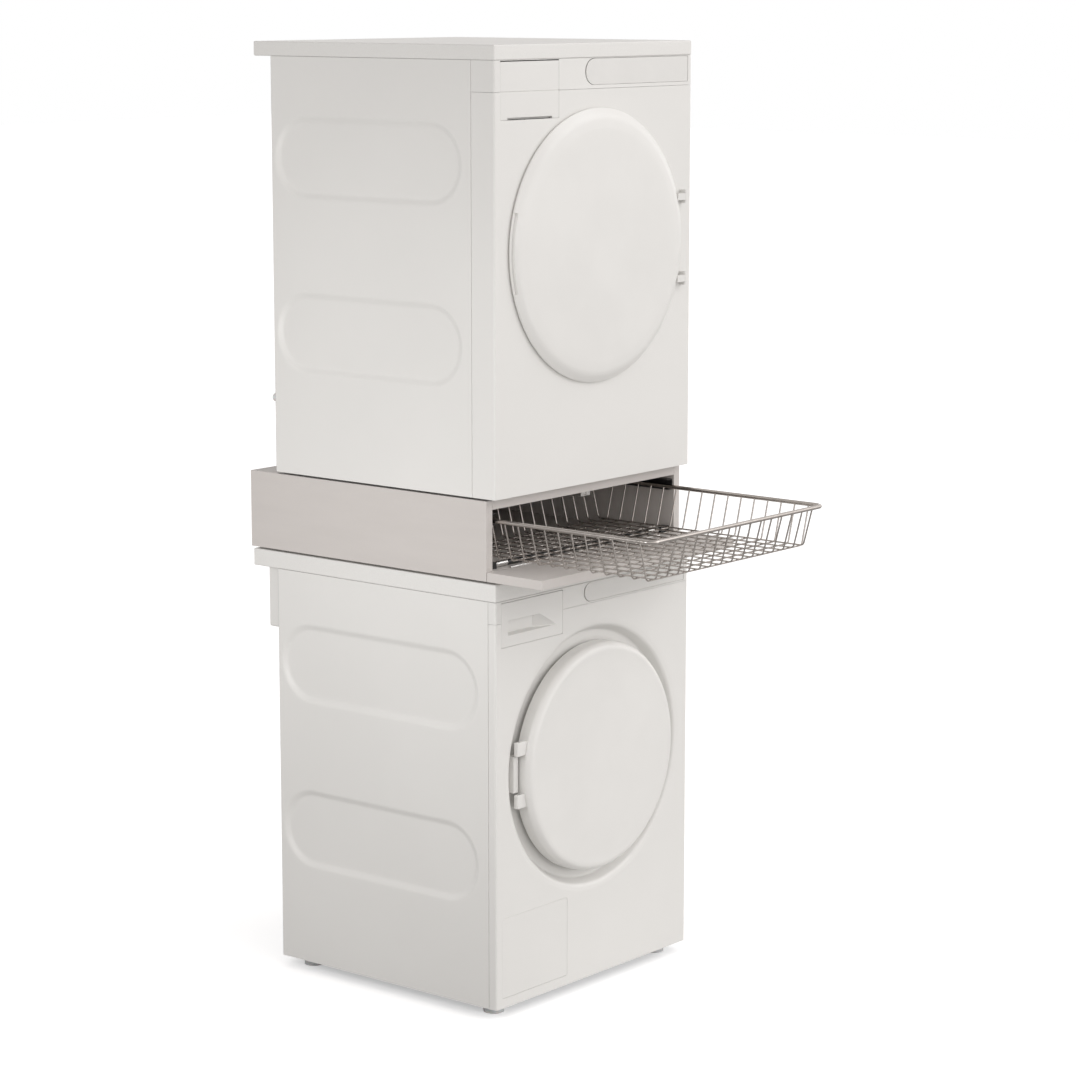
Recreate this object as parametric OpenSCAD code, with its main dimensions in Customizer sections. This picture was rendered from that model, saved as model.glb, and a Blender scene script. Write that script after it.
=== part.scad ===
// Washer and dryer stack with a pull-out laundry basket unit between the two machines.
// Front faces -Y, +X is to the right seen from the front, +Z is up, the floor is z = 0.
// Modules draw with the machines' front plane at y = 0; place() then centres the bounding box.

/* [Cabinets] */
// Width of both machines and of the basket unit
body_w = 595; // [560:1:650]
// Depth of the two steel bodies, front plane to rear panel
body_d = 565; // [540:1:680]
// Height of the washer from the floor to its worktop
washer_h = 846; // [820:1:1015]
// Height of the dryer from its underside to its worktop
dryer_h = 835; // [800:1:1002]
// Thickness of the steel panels
skin = 1.5; // [0.8:0.1:2.5]
// Thickness of the washer's worktop
washer_top_t = 34; // [28:1:41]
// Thickness of the dryer's worktop
dryer_top_t = 28; // [22:1:34]
// How far the washer's worktop runs past the rear panel
washer_top_over = 65; // [40:1:78]
// How far the dryer's worktop runs past the rear panel
dryer_top_over = 45; // [30:1:54]
// How far the washer's front panel wraps round the sides
washer_wrap = 19; // [12:1:24]
// How far the dryer's front frame wraps round the sides
dryer_wrap = 57; // [40:1:70]
// Height of the washer's feet
foot_h = 20; // [15:1:26]
// Radius of a foot's pad
foot_r = 20; // [14:1:26]
// Thickness of the pads under the basket unit and under the dryer
pad_t = 4; // [3:0.5:6]

/* [Side embossing] */
// Height of the long pressed panels in the sides
pill_h = 165; // [120:1:198]
// Depth of the pressed panels
pill_deep = 6; // [3:0.5:9]
// Distance of the pressed panels from the front, washer
washer_pill_in = 40; // [30:1:60]
// Distance of the pressed panels from the front, dryer
dryer_pill_in = 76; // [72:1:95]

/* [Washer] */
// Radius of the washer's door cover
washer_door_r = 226; // [190:1:232]
// Radius of the dished ring round the washer's door
washer_dish_r = 260; // [254:1:270]
// Depth of the dished ring
dish_deep = 22; // [18:1:27]
// Height of the washer's door centre
washer_door_z = 466; // [440:1:480]
// How far the washer's door cover stands in front of the front plane
washer_door_proud = 22; // [16:1:27]
// Radius of the washer's door mouth
washer_mouth_r = 165; // [150:1:175]
// Radius of the washing drum
washer_drum_r = 244; // [210:1:248]
// Depth of the washing drum
washer_drum_d = 340; // [290:1:370]
// Radius of the drum shaft
shaft_r = 15; // [12:0.5:18]
// Radius of the washer's hinge pin
hinge_pin_r = 4; // [3:0.25:5]
// Width of the detergent drawer's front
washer_drawer_w = 180; // [150:1:186]
// Height of the detergent drawer's front
washer_drawer_h = 84; // [72:1:86]
// Height of the washer's control strip
washer_strip_h = 42; // [36:1:50]
// Width of the service flap
service_w = 195; // [160:1:210]
// Height of the service flap
service_h = 156; // [130:1:170]

/* [Dryer] */
// Radius of the dryer's door cover
dryer_door_r = 260; // [220:1:264]
// Height of the dryer's door centre above the dryer's underside
dryer_door_up = 454; // [440:1:460]
// How far the dryer's door cover stands in front of the front plane
dryer_door_proud = 18; // [14:1:22]
// Radius of the dryer's door mouth
dryer_mouth_r = 190; // [160:1:200]
// Radius of the drying drum
dryer_drum_r = 268; // [225:1:272]
// Depth of the drying drum
dryer_drum_d = 420; // [350:1:440]
// Radius of the drying drum's axle
axle_r = 12; // [10:0.5:15]
// Width of the water container's front
tank_front_w = 167; // [140:1:175]
// Height of the water container's front
tank_front_h = 106; // [90:1:112]
// Height of the dryer's control strip
dryer_strip_h = 58; // [48:1:64]

/* [Basket unit] */
// Clear height between the basket unit's floor and top
bay_h = 116; // [100:1:146]
// Thickness of the unit's panels and flap
board = 18; // [15:1:22]
// How far the unit stands behind the machines' front plane
unit_back_set = 22; // [20:1:28]
// Depth of the unit
unit_d = 613; // [590:1:735]
// Length of the folded-down flap
flap_len = 135; // [115:1:136]
// Thickness of the unit's rear panel
back_t = 6; // [4:1:10]
// Diameter of the basket's rim rod
rim_d = 8; // [6:0.5:9]
// Diameter of the basket's wires
wire_d = 3; // [2.4:0.2:4]
// Length of the basket, front to rear
basket_len = 550; // [470:1:555]
// How far the basket is pulled out of the unit
basket_out = 372; // [300:1:380]
// Inward taper of the basket's side walls
side_taper = 24; // [15:1:40]
// Inward taper of the basket's end walls
end_taper = 20; // [10:1:30]
// Number of cross wires in the basket
cross_wires = 16; // [10:1:22]
// Number of long wires in the basket
long_wires = 15; // [8:1:18]

/* [Hidden] */
$fn = 72;
gap = 1;                                     // seam between panels that are seen
fit = 0.05;                                  // radial clearance of a pin or shaft in its bore
half_w = body_w / 2;
inner_w = half_w - skin;
washer_deck = washer_h - washer_top_t;       // underside of the washer's worktop
washer_seam = washer_deck - washer_strip_h;  // seam under the washer's control strip
unit_z = washer_h + pad_t;
unit_top_z = unit_z + bay_h + 2 * board;
unit_floor_z = unit_z + board;
dryer_z = unit_top_z + pad_t;
dryer_top_z = dryer_z + dryer_h;
dryer_deck = dryer_top_z - dryer_top_t;
dryer_seam = dryer_deck - dryer_strip_h;
dryer_door_z = dryer_z + dryer_door_up;
unit_rear = unit_back_set + unit_d;
rear_max = max(unit_rear, body_d + washer_top_over, body_d + dryer_top_over);
rim_r = rim_d / 2;
wire_r = wire_d / 2;
basket_front = unit_back_set - basket_out;   // front of the rim rod
basket_rear = basket_front + basket_len;
flap_front = unit_back_set - flap_len;
y_off = -(rear_max + basket_front) / 2;      // centres the bounding box on y = 0

// touch-control windows
display_x = -29;
display_back = 0.6;

// side embossing
washer_pill_up = [foot_h + 276, foot_h + 611];
dryer_pill_up = [dryer_z + 278, dryer_z + 615];

// washer interior, all turned about the door's centre line
tub_gap = 16;
tub_wall = 4;
tub_r = washer_drum_r + tub_gap + tub_wall;
tub_front = dish_deep + 50;
drum_front = tub_front + tub_wall + 8;
drum_rear = drum_front + washer_drum_d;
tub_rear = drum_rear + 14;
hub_r = shaft_r + 22;
hub_len = 30;
rotor_r = 130;
rotor_y = tub_rear + hub_len + 4;
drum_mouth_r = washer_mouth_r - 2;
lifter_h = 44;
weight_t = 33;                               // thickness of the counterweights
spring_r = 9;
spring_z = washer_door_z + 210;              // lower end of the coils
spring_len = 70;
damper_r = 11;
damper_x = tub_r - 32;
damper_len = 150;
base_h = 40;
stem_r = 5;
foot_in = 45;

// washer's door
hinge_x = -(washer_door_r + 12);
hinge_y = -4;
knuckle_z = 51;
knuckle_h = 28;
door_back = dish_deep - 8;

// washer's rear box and water inlet
box_deep = 36;
box_h = 122;
box_in = 12;
inlet_x = 190;
inlet_z = washer_deck - 60;
inlet_r = 13.2;
inlet_len = 16;

// detergent drawer, top left of the washer's front
drawer_x0 = -half_w + 18;
drawer_x1 = drawer_x0 + washer_drawer_w;
drawer_z1 = washer_deck - 4;
drawer_z0 = drawer_z1 - washer_drawer_h;
tray_t = 2;
tray_d = 330;
tray_in = 8;                                 // the tray is this much narrower than the front, each side
tray_up = 18;                                // and starts this much above its bottom edge
case_gap = 1.5;
drawer_front_t = 18;
grip_in = 19;                                // finger recess: in from the front's sides
grip_low = 21;
grip_high = 49;
grip_slope = 50;
grip_deep = 14;

// service flap, bottom left of the washer's front
service_x0 = -half_w + 18;
service_z0 = foot_h + 20;
service_t = 3;
pump_wall = 5;
filter_r = 30;
pump_x = -(damper_x - damper_r - 4 - filter_r - pump_wall);   // clear of the left dampers
pump_z = service_z0 + 52;
filter_fit = 0.4;
strainer_r = 20;

// dryer interior
dryer_drum_y = dryer_wrap + 21;
dryer_drum_rear = dryer_drum_y + dryer_drum_d;
dryer_hinge_x = dryer_door_r + 6;
dryer_hinge_y = -10;
dryer_hinge_z = 80;
tank_x0 = -half_w + 18;
tank_x1 = tank_x0 + tank_front_w;
tank_z1 = dryer_deck - 2;
tank_z0 = tank_z1 - tank_front_h;
tank_d = 460;
lint_w = 240;
lint_h = 120;
lint_t = 20;
lint_y = 46;
lint_z0 = dryer_door_z - dryer_drum_r - 50;
spigot_x = -half_w + 24;
spigot_z = dryer_z + 143;
spigot_r = 8;
spigot_len = 22;

// basket unit
rim_drop = 23;                               // rim rod's centre line below the unit's top panel
basket_lift = 16;                            // lower floor wires' centre line above its floor
rim_z = unit_top_z - board - rim_drop;       // centre line of the rim rod
rim_x = half_w - board - 11;                 // centre line of the rim's side rods
floor_z = unit_floor_z + basket_lift;        // centre line of the lower floor wires
floor_half = rim_x - side_taper;
runner_t = 1.5;
runner_low = rim_z - rim_r - 1;              // inner face of the runner's lower lip
runner_high = rim_z + rim_r + 9;             // inner face of its upper lip
lip_x = rim_x - 1.5;                         // the lower lip ends under the rim rod
rod_r = 5;
rod_half = half_w - board - 18;
rod_y = unit_back_set + 20;
rod_z = unit_floor_z + rod_r + 1;
sleeve_len = 62;
pad_r = 16;
barrel_r = 3.5;
barrel_len = 60;
barrel_x = 200;
flap_axis_y = unit_back_set - gap / 2;
corner_r = 16;
weld = 0.4;                                  // how deep a welded wire sinks into the next
wire_y0 = basket_front + rim_r + end_taper;  // front and rear wires' line on the basket's floor
wire_y1 = basket_rear - rim_r - end_taper;
wire_top = rim_z - rim_r + weld;             // where the end walls' wires meet the rim
side_wire_top = rim_z - rim_r / 2;           // where the side walls' wires meet it
long_z = floor_z + wire_d - weld;

// ---- shared shapes ----

// moves a shape drawn from the front plane into the centred frame
module place() {
    translate([0, y_off, 0]) children();
}

// a box between two corners
module block(a, b) {
    translate(a) cube(b - a);
}

// a solid turned about a line along +Y; points are [radius, y]
module turned(x, z, points) {
    translate([x, 0, z]) rotate([-90, 0, 0]) rotate_extrude() polygon(points);
}

// a round rod between two points
module rod(a, b, r) {
    v = b - a;
    len = norm(v);
    translate(a)
        rotate([0, acos(v[2] / len), atan2(v[1], v[0])])
            cylinder(r = r, h = len);
}

// a stadium lying along the first axis, drawn flat
module stadium(len, wide) {
    square([len - wide, wide], center = true);
    for (s = [-1, 1])
        translate([s * (len - wide) / 2, 0]) circle(d = wide);
}

// a steel side panel with two pressed stadium shapes; side is -1 for left, 1 for right
module side_panel(side, y0, y1, z0, z1, pill_in, pills) {
    long = y1 - pill_in - 6;
    mid_y = pill_in + long / 2;
    mirror([side > 0 ? 1 : 0, 0, 0])
        union() {
            difference() {
                block([-half_w, y0, z0], [-inner_w, y1, z1]);
                for (z = pills)
                    pressed(-half_w - 1, skin + 2, mid_y, z, long, pill_h);
            }
            for (z = pills)
                difference() {
                    pressed(-half_w, pill_deep + skin, mid_y, z, long, pill_h);
                    pressed(-half_w - 1, pill_deep + 1, mid_y, z,
                            long - 2 * skin, pill_h - 2 * skin);
                }
        }
}

// a stadium prism standing on a plane of constant x, growing inwards
module pressed(x, deep, y, z, long, high) {
    translate([x, y, z]) rotate([90, 0, 90]) linear_extrude(deep) stadium(long, high);
}

// a front sheet with wrapped sides
module front_sheet(z0, z1, wrap) {
    block([-half_w, 0, z0], [half_w, skin, z1]);
    for (s = [0, 1]) mirror([s, 0, 0])
        block([-half_w, 0, z0], [-inner_w, wrap - gap / 2, z1]);
}

// an open-topped tray
module tray(a, b, t) {
    difference() {
        block(a, b);
        block(a + [t, t, t], b + [-t, -t, 1]);
    }
}

// the three lifter bars inside a drum
module lifters(z, drum_r, y, len) {
    translate([0, 0, z])
        for (i = [0:2])
            intersection() {
                rotate([0, 30 + 120 * i, 0])
                    translate([drum_r, y, 0]) rotate([-90, 0, 0]) linear_extrude(len)
                        polygon([[4, -30], [-lifter_h, -9], [-lifter_h, 9], [4, 30]]);
                rotate([-90, 0, 0]) cylinder(r = drum_r - skin - 0.1, h = y + len + 10);
            }
}

// the touch-control window between two depths: round at its left end, square at its right
module display_bar(z0, z1, y0, y1, inset) {
    r = (z1 - z0) / 2 - inset;
    x0 = display_x + inset + r;
    translate([0, y1, (z0 + z1) / 2]) rotate([90, 0, 0]) linear_extrude(y1 - y0)
        union() {
            translate([x0, 0]) circle(r = r);
            translate([x0, -r]) square([half_w - 12 - inset - x0, 2 * r]);
        }
}

// ---- washer ----

module washer_side_panels() color("whitesmoke") place()
    for (side = [-1, 1])
        side_panel(side, washer_wrap, body_d, foot_h, washer_deck, washer_pill_in, washer_pill_up);

module washer_rear_panel() color("gainsboro") place()
    difference() {
        block([-inner_w, body_d - skin, foot_h], [inner_w, body_d, washer_deck]);
        translate([0, body_d - skin - 1, washer_door_z]) rotate([-90, 0, 0])
            cylinder(r = 40, h = skin + 2);
    }

module washer_front_panel() color("whitesmoke") place()
    difference() {
        union() {
            front_sheet(foot_h, washer_seam, washer_wrap);
            turned(0, washer_door_z, [
                [washer_dish_r, 0], [washer_dish_r - 14, dish_deep],
                [washer_mouth_r, dish_deep], [washer_mouth_r, dish_deep + 8],
                [washer_mouth_r + skin, dish_deep + 8], [washer_mouth_r + skin, dish_deep + skin],
                [washer_dish_r - 13, dish_deep + skin], [washer_dish_r + 1, skin],
                [washer_dish_r + 1, 0]]);
        }
        turned(0, washer_door_z, [
            [0, -1], [washer_dish_r, -1], [washer_dish_r, 0], [washer_dish_r - 14, dish_deep],
            [washer_mouth_r, dish_deep], [washer_mouth_r, dish_deep + 9], [0, dish_deep + 9]]);
        block([drawer_x0 - gap, -1, drawer_z0 - gap],
              [drawer_x1 + gap, washer_wrap, washer_seam + 1]);
        block([service_x0 - gap, -1, service_z0 - gap],
              [service_x0 + service_w + gap, skin + 1, service_z0 + service_h + gap]);
    }

module washer_base() color("darkgray") place()
    difference() {
        tray([-inner_w + gap, skin + gap, foot_h],
             [inner_w - gap, body_d - skin - gap, foot_h + base_h], 2);
        for (x = [-half_w + foot_in, half_w - foot_in], y = [foot_in, body_d - foot_in])
            translate([x, y, foot_h - 1]) cylinder(r = stem_r + fit, h = 4);
        block([service_x0, 0, foot_h + 4],
              [service_x0 + service_w, 10, foot_h + base_h + 1]);
    }

module washer_worktop() color("whitesmoke") place()
    block([-half_w, 0, washer_deck], [half_w, body_d + washer_top_over, washer_h]);

module washer_fascia() color("whitesmoke") place()
    difference() {
        front_sheet(washer_seam + gap / 2, washer_deck, washer_wrap);
        block([drawer_x0 - gap, -1, washer_seam - 1],
              [drawer_x1 + gap, washer_wrap, drawer_z1 + gap]);
        display_bar(washer_seam + 4, washer_deck - 2, -1, skin + 1, 0);
    }

module washer_display() color("white") place()
    display_bar(washer_seam + 4, washer_deck - 2, display_back, skin, 0.2);

module washer_rear_box() color("silver") place()
    difference() {
        block([-half_w + box_in, body_d, washer_deck - box_h],
              [half_w - box_in, body_d + box_deep, washer_deck]);
        block([-half_w + box_in + 2, body_d - 1, washer_deck - box_h + 2],
              [half_w - box_in - 2, body_d + box_deep - 2, washer_deck - 2]);
        translate([inlet_x, body_d + box_deep - 6, inlet_z]) rotate([-90, 0, 0])
            cylinder(r = inlet_r + 1, h = 10);
    }

module washer_inlet_valve() color("lightgray") place()
    translate([inlet_x, 0, inlet_z]) rotate([-90, 0, 0])
        difference() {
            union() {
                translate([0, 0, body_d + 4]) cylinder(r = inlet_r + 5, h = box_deep - 10);
                translate([0, 0, body_d + box_deep - 6]) cylinder(r = inlet_r, h = 6 + inlet_len);
            }
            translate([0, 0, body_d + 20]) cylinder(r = inlet_r - 4, h = 60);
        }

module washer_feet() color("dimgray") place()
    for (x = [-half_w + foot_in, half_w - foot_in], y = [foot_in, body_d - foot_in])
        translate([x, y, 0])
            union() {
                cylinder(r = foot_r, h = 9);
                cylinder(r = 9, h = foot_h);
                cylinder(r = stem_r, h = foot_h + 24);
            }

module washer_tub() color("lightgray") place()
    difference() {
        turned(0, washer_door_z, [
            [washer_mouth_r + 8, tub_front], [tub_r, tub_front], [tub_r, tub_rear + tub_wall],
            [hub_r, tub_rear + tub_wall], [hub_r, tub_rear + hub_len], [0, tub_rear + hub_len],
            [0, tub_rear], [tub_r - tub_wall, tub_rear], [tub_r - tub_wall, tub_front + tub_wall],
            [washer_mouth_r + 8, tub_front + tub_wall]]);
        translate([0, tub_rear - 1, washer_door_z]) rotate([-90, 0, 0])
            cylinder(r = shaft_r + fit, h = hub_len + 2);
    }

module washer_counterweight() color("gray") place()
    difference() {
        turned(0, washer_door_z, [
            [washer_mouth_r + 30, tub_front - 1 - weight_t], [tub_r - 12, tub_front - 1 - weight_t],
            [tub_r - 12, tub_front - 1], [washer_mouth_r + 30, tub_front - 1]]);
        block([-half_w, 0, washer_door_z - 20], [half_w, tub_front, washer_door_z + 20]);
    }

module washer_springs() color("silver") place()
    for (s = [-1, 1])
        translate([s * (tub_r - 20), tub_rear - 50, 0])
            union() {
                translate([0, 0, spring_z]) cylinder(r = spring_r, h = spring_len);
                translate([0, 0, spring_z - 16]) cylinder(r = 2.5, h = washer_deck - spring_z + 10);
            }

module washer_dampers() color("dimgray") place()
    for (s = [-1, 1], y = [tub_front + 60, tub_rear - 60])
        rod([s * damper_x, y, foot_h + 12], [s * (damper_x - 6), y, foot_h + 12 + damper_len],
            damper_r);

module washer_gasket() color("gray") place()
    turned(0, washer_door_z, [
        [washer_mouth_r - 15, dish_deep + 12], [washer_mouth_r - 13, dish_deep + 10],
        [washer_mouth_r - 1, dish_deep + 9], [washer_mouth_r + 9, dish_deep + 9],
        [washer_mouth_r + 9, dish_deep + 16], [washer_mouth_r + 16, dish_deep + 28],
        [washer_mouth_r + 9, dish_deep + 40], [washer_mouth_r + 16, tub_front - 1],
        [washer_mouth_r + 4, tub_front - 1], [washer_mouth_r + 3, dish_deep + 40],
        [washer_mouth_r + 9, dish_deep + 28], [washer_mouth_r + 3, dish_deep + 16],
        [washer_mouth_r - 12, dish_deep + 15]]);

module washer_stator() color("steelblue") place()
    turned(0, washer_door_z, [
        [hub_r + 0.5, tub_rear + tub_wall], [rotor_r - 14, tub_rear + tub_wall],
        [rotor_r - 14, tub_rear + hub_len - 2], [hub_r + 0.5, tub_rear + hub_len - 2]]);

module washer_drum() color("silver") place()
    turned(0, washer_door_z, [
        [drum_mouth_r, drum_front], [washer_drum_r - 6, drum_front],
        [washer_drum_r, drum_front + 6], [washer_drum_r, drum_rear], [0, drum_rear],
        [0, drum_rear - skin], [washer_drum_r - skin, drum_rear - skin],
        [washer_drum_r - skin, drum_front + 7], [washer_drum_r - 7, drum_front + skin],
        [drum_mouth_r, drum_front + skin]]);

module washer_lifters() color("lightsteelblue") place()
    lifters(washer_door_z, washer_drum_r, drum_front + 24, washer_drum_d - 50);

module washer_rotor() color("dimgray") place()
    translate([0, 0, washer_door_z]) rotate([-90, 0, 0])
        union() {
            translate([0, 0, drum_rear]) cylinder(r = shaft_r, h = rotor_y + 8 - drum_rear);
            difference() {
                translate([0, 0, rotor_y - 22]) cylinder(r = rotor_r, h = 26);
                translate([0, 0, rotor_y - 23]) cylinder(r = rotor_r - 6, h = 23);
            }
        }

module washer_hinge_bracket() color("lightgray") place()
    translate([hinge_x, 0, washer_door_z + 5])
        union() {
            block([-4, hinge_y, -knuckle_z + knuckle_h / 2 + 1],
                  [8, dish_deep, knuckle_z - knuckle_h / 2 - 1]);
            translate([0, hinge_y, -knuckle_z + knuckle_h / 2 + 1])
                cylinder(r = hinge_pin_r + 3, h = 2 * knuckle_z - knuckle_h - 2);
            translate([0, hinge_y, -knuckle_z - knuckle_h / 2 - 3])
                cylinder(r = hinge_pin_r, h = 2 * knuckle_z + knuckle_h + 6);
        }

module washer_hinge_arms() color("silver") place()
    translate([hinge_x, hinge_y, washer_door_z + 5])
        for (s = [-1, 1])
            difference() {
                union() {
                    translate([0, 0, s * knuckle_z - knuckle_h / 2])
                        cylinder(r = hinge_pin_r + 3.5, h = knuckle_h);
                    block([0, -5, s * knuckle_z - knuckle_h / 2],
                          [arm_reach(s * knuckle_z + 5), 5, s * knuckle_z + knuckle_h / 2]);
                }
                translate([0, 0, s * knuckle_z - knuckle_h])
                    cylinder(r = hinge_pin_r + fit, h = 2 * knuckle_h);
                translate([-hinge_x, -hinge_y, -5]) rotate([-90, 0, 0])
                    translate([0, 0, -60]) cylinder(r = washer_door_r + 0.02, h = 120);
            }

// how far an arm at a height above the door's centre must run to meet the round cover
function arm_reach(z) = -hinge_x - sqrt(pow(washer_door_r, 2) - pow(abs(z) + knuckle_h / 2, 2)) + 3;

module washer_door_cover() color("white") place()
    turned(0, washer_door_z, [
        [0, -washer_door_proud - 4], [washer_door_r - 60, -washer_door_proud - 3],
        [washer_door_r - 10, -washer_door_proud], [washer_door_r - 3, -washer_door_proud + 3],
        [washer_door_r, -washer_door_proud + 10], [washer_door_r, door_back],
        [washer_mouth_r - 22, door_back], [washer_mouth_r - 22, door_back - 4],
        [washer_door_r - 4, door_back - 4], [washer_door_r - 4, -washer_door_proud + 11],
        [washer_door_r - 60, -washer_door_proud + 3], [0, -washer_door_proud + 2]]);

module washer_door_glass() color("lightblue") place()
    turned(0, washer_door_z, [
        [0, dish_deep + 78], [washer_mouth_r - 75, dish_deep + 72],
        [washer_mouth_r - 50, dish_deep + 50], [washer_mouth_r - 36, dish_deep + 6],
        [washer_mouth_r - 18, dish_deep + 2], [washer_mouth_r - 18, door_back],
        [washer_mouth_r - 42, door_back], [washer_mouth_r - 42, dish_deep + 2],
        [washer_mouth_r - 56, dish_deep + 46], [washer_mouth_r - 78, dish_deep + 67],
        [0, dish_deep + 73]]);

module washer_drawer_front() color("white") place()
    difference() {
        block([drawer_x0, 0, drawer_z0], [drawer_x1, drawer_front_t, drawer_z1]);
        translate([0, grip_deep, 0]) rotate([90, 0, 0]) linear_extrude(grip_deep + 2)
            polygon([[drawer_x0 + grip_in, drawer_z0 + grip_low],
                     [drawer_x1 - grip_in, drawer_z0 + grip_low],
                     [drawer_x1 - grip_in - grip_slope, drawer_z0 + grip_high],
                     [drawer_x0 + grip_in, drawer_z0 + grip_high]]);
    }

module washer_drawer_tray() color("gainsboro") place()
    union() {
        tray([drawer_x0 + tray_in, drawer_front_t, drawer_z0 + tray_up],
             [drawer_x1 - tray_in, drawer_front_t + tray_d, drawer_z1 - 8], tray_t);
        for (share = [1 / 3, 0.65])
            translate([drawer_x0 + washer_drawer_w * share, 0, 0])
                block([0, drawer_front_t + 1, drawer_z0 + tray_up + 1],
                      [tray_t, drawer_front_t + tray_d - 1, drawer_z1 - 14]);
    }

module washer_drawer_case() color("lightgray") place()
    difference() {
        block([drawer_x0 + tray_in - case_gap - tray_t, drawer_front_t + 4,
               drawer_z0 + tray_up - case_gap - tray_t],
              [drawer_x1 - tray_in + case_gap + tray_t, drawer_front_t + tray_d + 12, drawer_z1 - 2]);
        block([drawer_x0 + tray_in - case_gap, 0, drawer_z0 + tray_up - case_gap],
              [drawer_x1 - tray_in + case_gap, drawer_front_t + tray_d + 10, drawer_z1 - 4]);
    }

module washer_service_flap() color("white") place()
    block([service_x0, 0, service_z0], [service_x0 + service_w, service_t, service_z0 + service_h]);

module washer_pump() color("lightgray") place()
    difference() {
        turned(pump_x, pump_z, [
            [0, 150], [0, 66], [filter_r + filter_fit, 66], [filter_r + filter_fit, 24],
            [filter_r + pump_wall, 24], [filter_r + pump_wall, 110], [filter_r - 6, 150]]);
        translate([pump_x, 60, pump_z]) rotate([-90, 0, 0]) cylinder(r = strainer_r, h = 70);
    }

module washer_pump_filter() color("gray") place()
    union() {
        turned(pump_x, pump_z, [[0, 22], [filter_r, 22], [filter_r, 62], [0, 62]]);
        block([pump_x - filter_r + 4, 12, pump_z - 4], [pump_x + filter_r - 4, 23, pump_z + 4]);
        turned(pump_x, pump_z, [
            [0, 61], [strainer_r - 0.5, 61], [strainer_r - 0.5, 120], [0, 120]]);
    }

// ---- dryer ----

module dryer_side_panels() color("whitesmoke") place()
    for (side = [-1, 1])
        side_panel(side, dryer_wrap, body_d, dryer_z, dryer_deck, dryer_pill_in, dryer_pill_up);

module dryer_rear_panel() color("gainsboro") place()
    difference() {
        union() {
            block([-inner_w, body_d - skin, dryer_z], [inner_w, body_d, dryer_deck]);
            turned(0, dryer_door_z, [
                [0, body_d - 34], [axle_r + 16, body_d - 34], [axle_r + 16, body_d],
                [0, body_d]]);
        }
        translate([0, body_d - 35, dryer_door_z]) rotate([-90, 0, 0])
            cylinder(r = axle_r + fit, h = 30);
        translate([spigot_x, body_d - skin - 1, spigot_z]) rotate([-90, 0, 0])
            cylinder(r = spigot_r + 0.1, h = skin + 2);
    }

module dryer_front_panel() color("whitesmoke") place()
    difference() {
        union() {
            front_sheet(dryer_z, dryer_seam, dryer_wrap);
            turned(0, dryer_door_z, [
                [dryer_mouth_r, 0], [dryer_mouth_r + skin, 0], [dryer_mouth_r + skin, lint_y - 6],
                [dryer_mouth_r, lint_y - 6]]);
        }
        translate([0, -1, dryer_door_z]) rotate([-90, 0, 0])
            cylinder(r = dryer_mouth_r, h = 100);
        block([tank_x0 - gap, -1, tank_z0 - gap], [tank_x1 + gap, dryer_wrap, dryer_seam + 1]);
    }

module dryer_base() color("dimgray") place()
    tray([-inner_w + gap, skin + gap, dryer_z], [inner_w - gap, body_d - skin - gap, dryer_z + 30], 2);

module dryer_worktop() color("whitesmoke") place()
    block([-half_w, 0, dryer_deck], [half_w, body_d + dryer_top_over, dryer_top_z]);

module dryer_fascia() color("whitesmoke") place()
    difference() {
        front_sheet(dryer_seam + gap / 2, dryer_deck, dryer_wrap);
        block([tank_x0 - gap, -1, dryer_seam - 1], [tank_x1 + gap, dryer_wrap, tank_z1 + gap]);
        display_bar(dryer_seam + 8, dryer_deck - 2, -1, skin + 1, 0);
    }

module dryer_display() color("white") place()
    display_bar(dryer_seam + 8, dryer_deck - 2, display_back, skin, 0.2);

module dryer_front_ring() color("lightgray") place()
    difference() {
        turned(0, dryer_door_z, [
            [dryer_mouth_r - 2, lint_y - 4], [dryer_drum_r - 20, lint_y - 4],
            [dryer_drum_r - 20, dryer_drum_y - 3], [dryer_mouth_r - 2, dryer_drum_y - 3]]);
        block([-lint_w / 2 - 1, lint_y - 1, dryer_door_z - dryer_drum_r],
              [lint_w / 2 + 1, lint_y + lint_t + 1, dryer_door_z]);
    }

module dryer_lint_filter() color("gray") place()
    union() {
        block([-lint_w / 2, lint_y, lint_z0], [lint_w / 2, lint_y + lint_t, lint_z0 + lint_h]);
        block([-40, lint_y + 4, lint_z0 + lint_h - 1],
              [40, lint_y + lint_t - 4, lint_z0 + lint_h + 12]);
    }

module dryer_heat_pump() color("darkgray") place()
    union() {
        block([-inner_w + 30, 120, dryer_z + 3], [40, body_d - 60, dryer_z + 150]);
        translate([150, 260, dryer_z + 3]) cylinder(r = 70, h = 130);
        rod([30, 260, dryer_z + 60], [100, 260, dryer_z + 60], 10);
    }

module dryer_drum() color("silver") place()
    turned(0, dryer_door_z, [
        [dryer_mouth_r + 2, dryer_drum_y], [dryer_drum_r, dryer_drum_y],
        [dryer_drum_r, dryer_drum_rear], [axle_r, dryer_drum_rear],
        [axle_r, body_d - 8], [0, body_d - 8], [0, dryer_drum_rear - skin],
        [dryer_drum_r - skin, dryer_drum_rear - skin],
        [dryer_drum_r - skin, dryer_drum_y + skin], [dryer_mouth_r + 2, dryer_drum_y + skin]]);

module dryer_lifters() color("lightsteelblue") place()
    lifters(dryer_door_z, dryer_drum_r, dryer_drum_y + 30, dryer_drum_d - 60);

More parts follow.
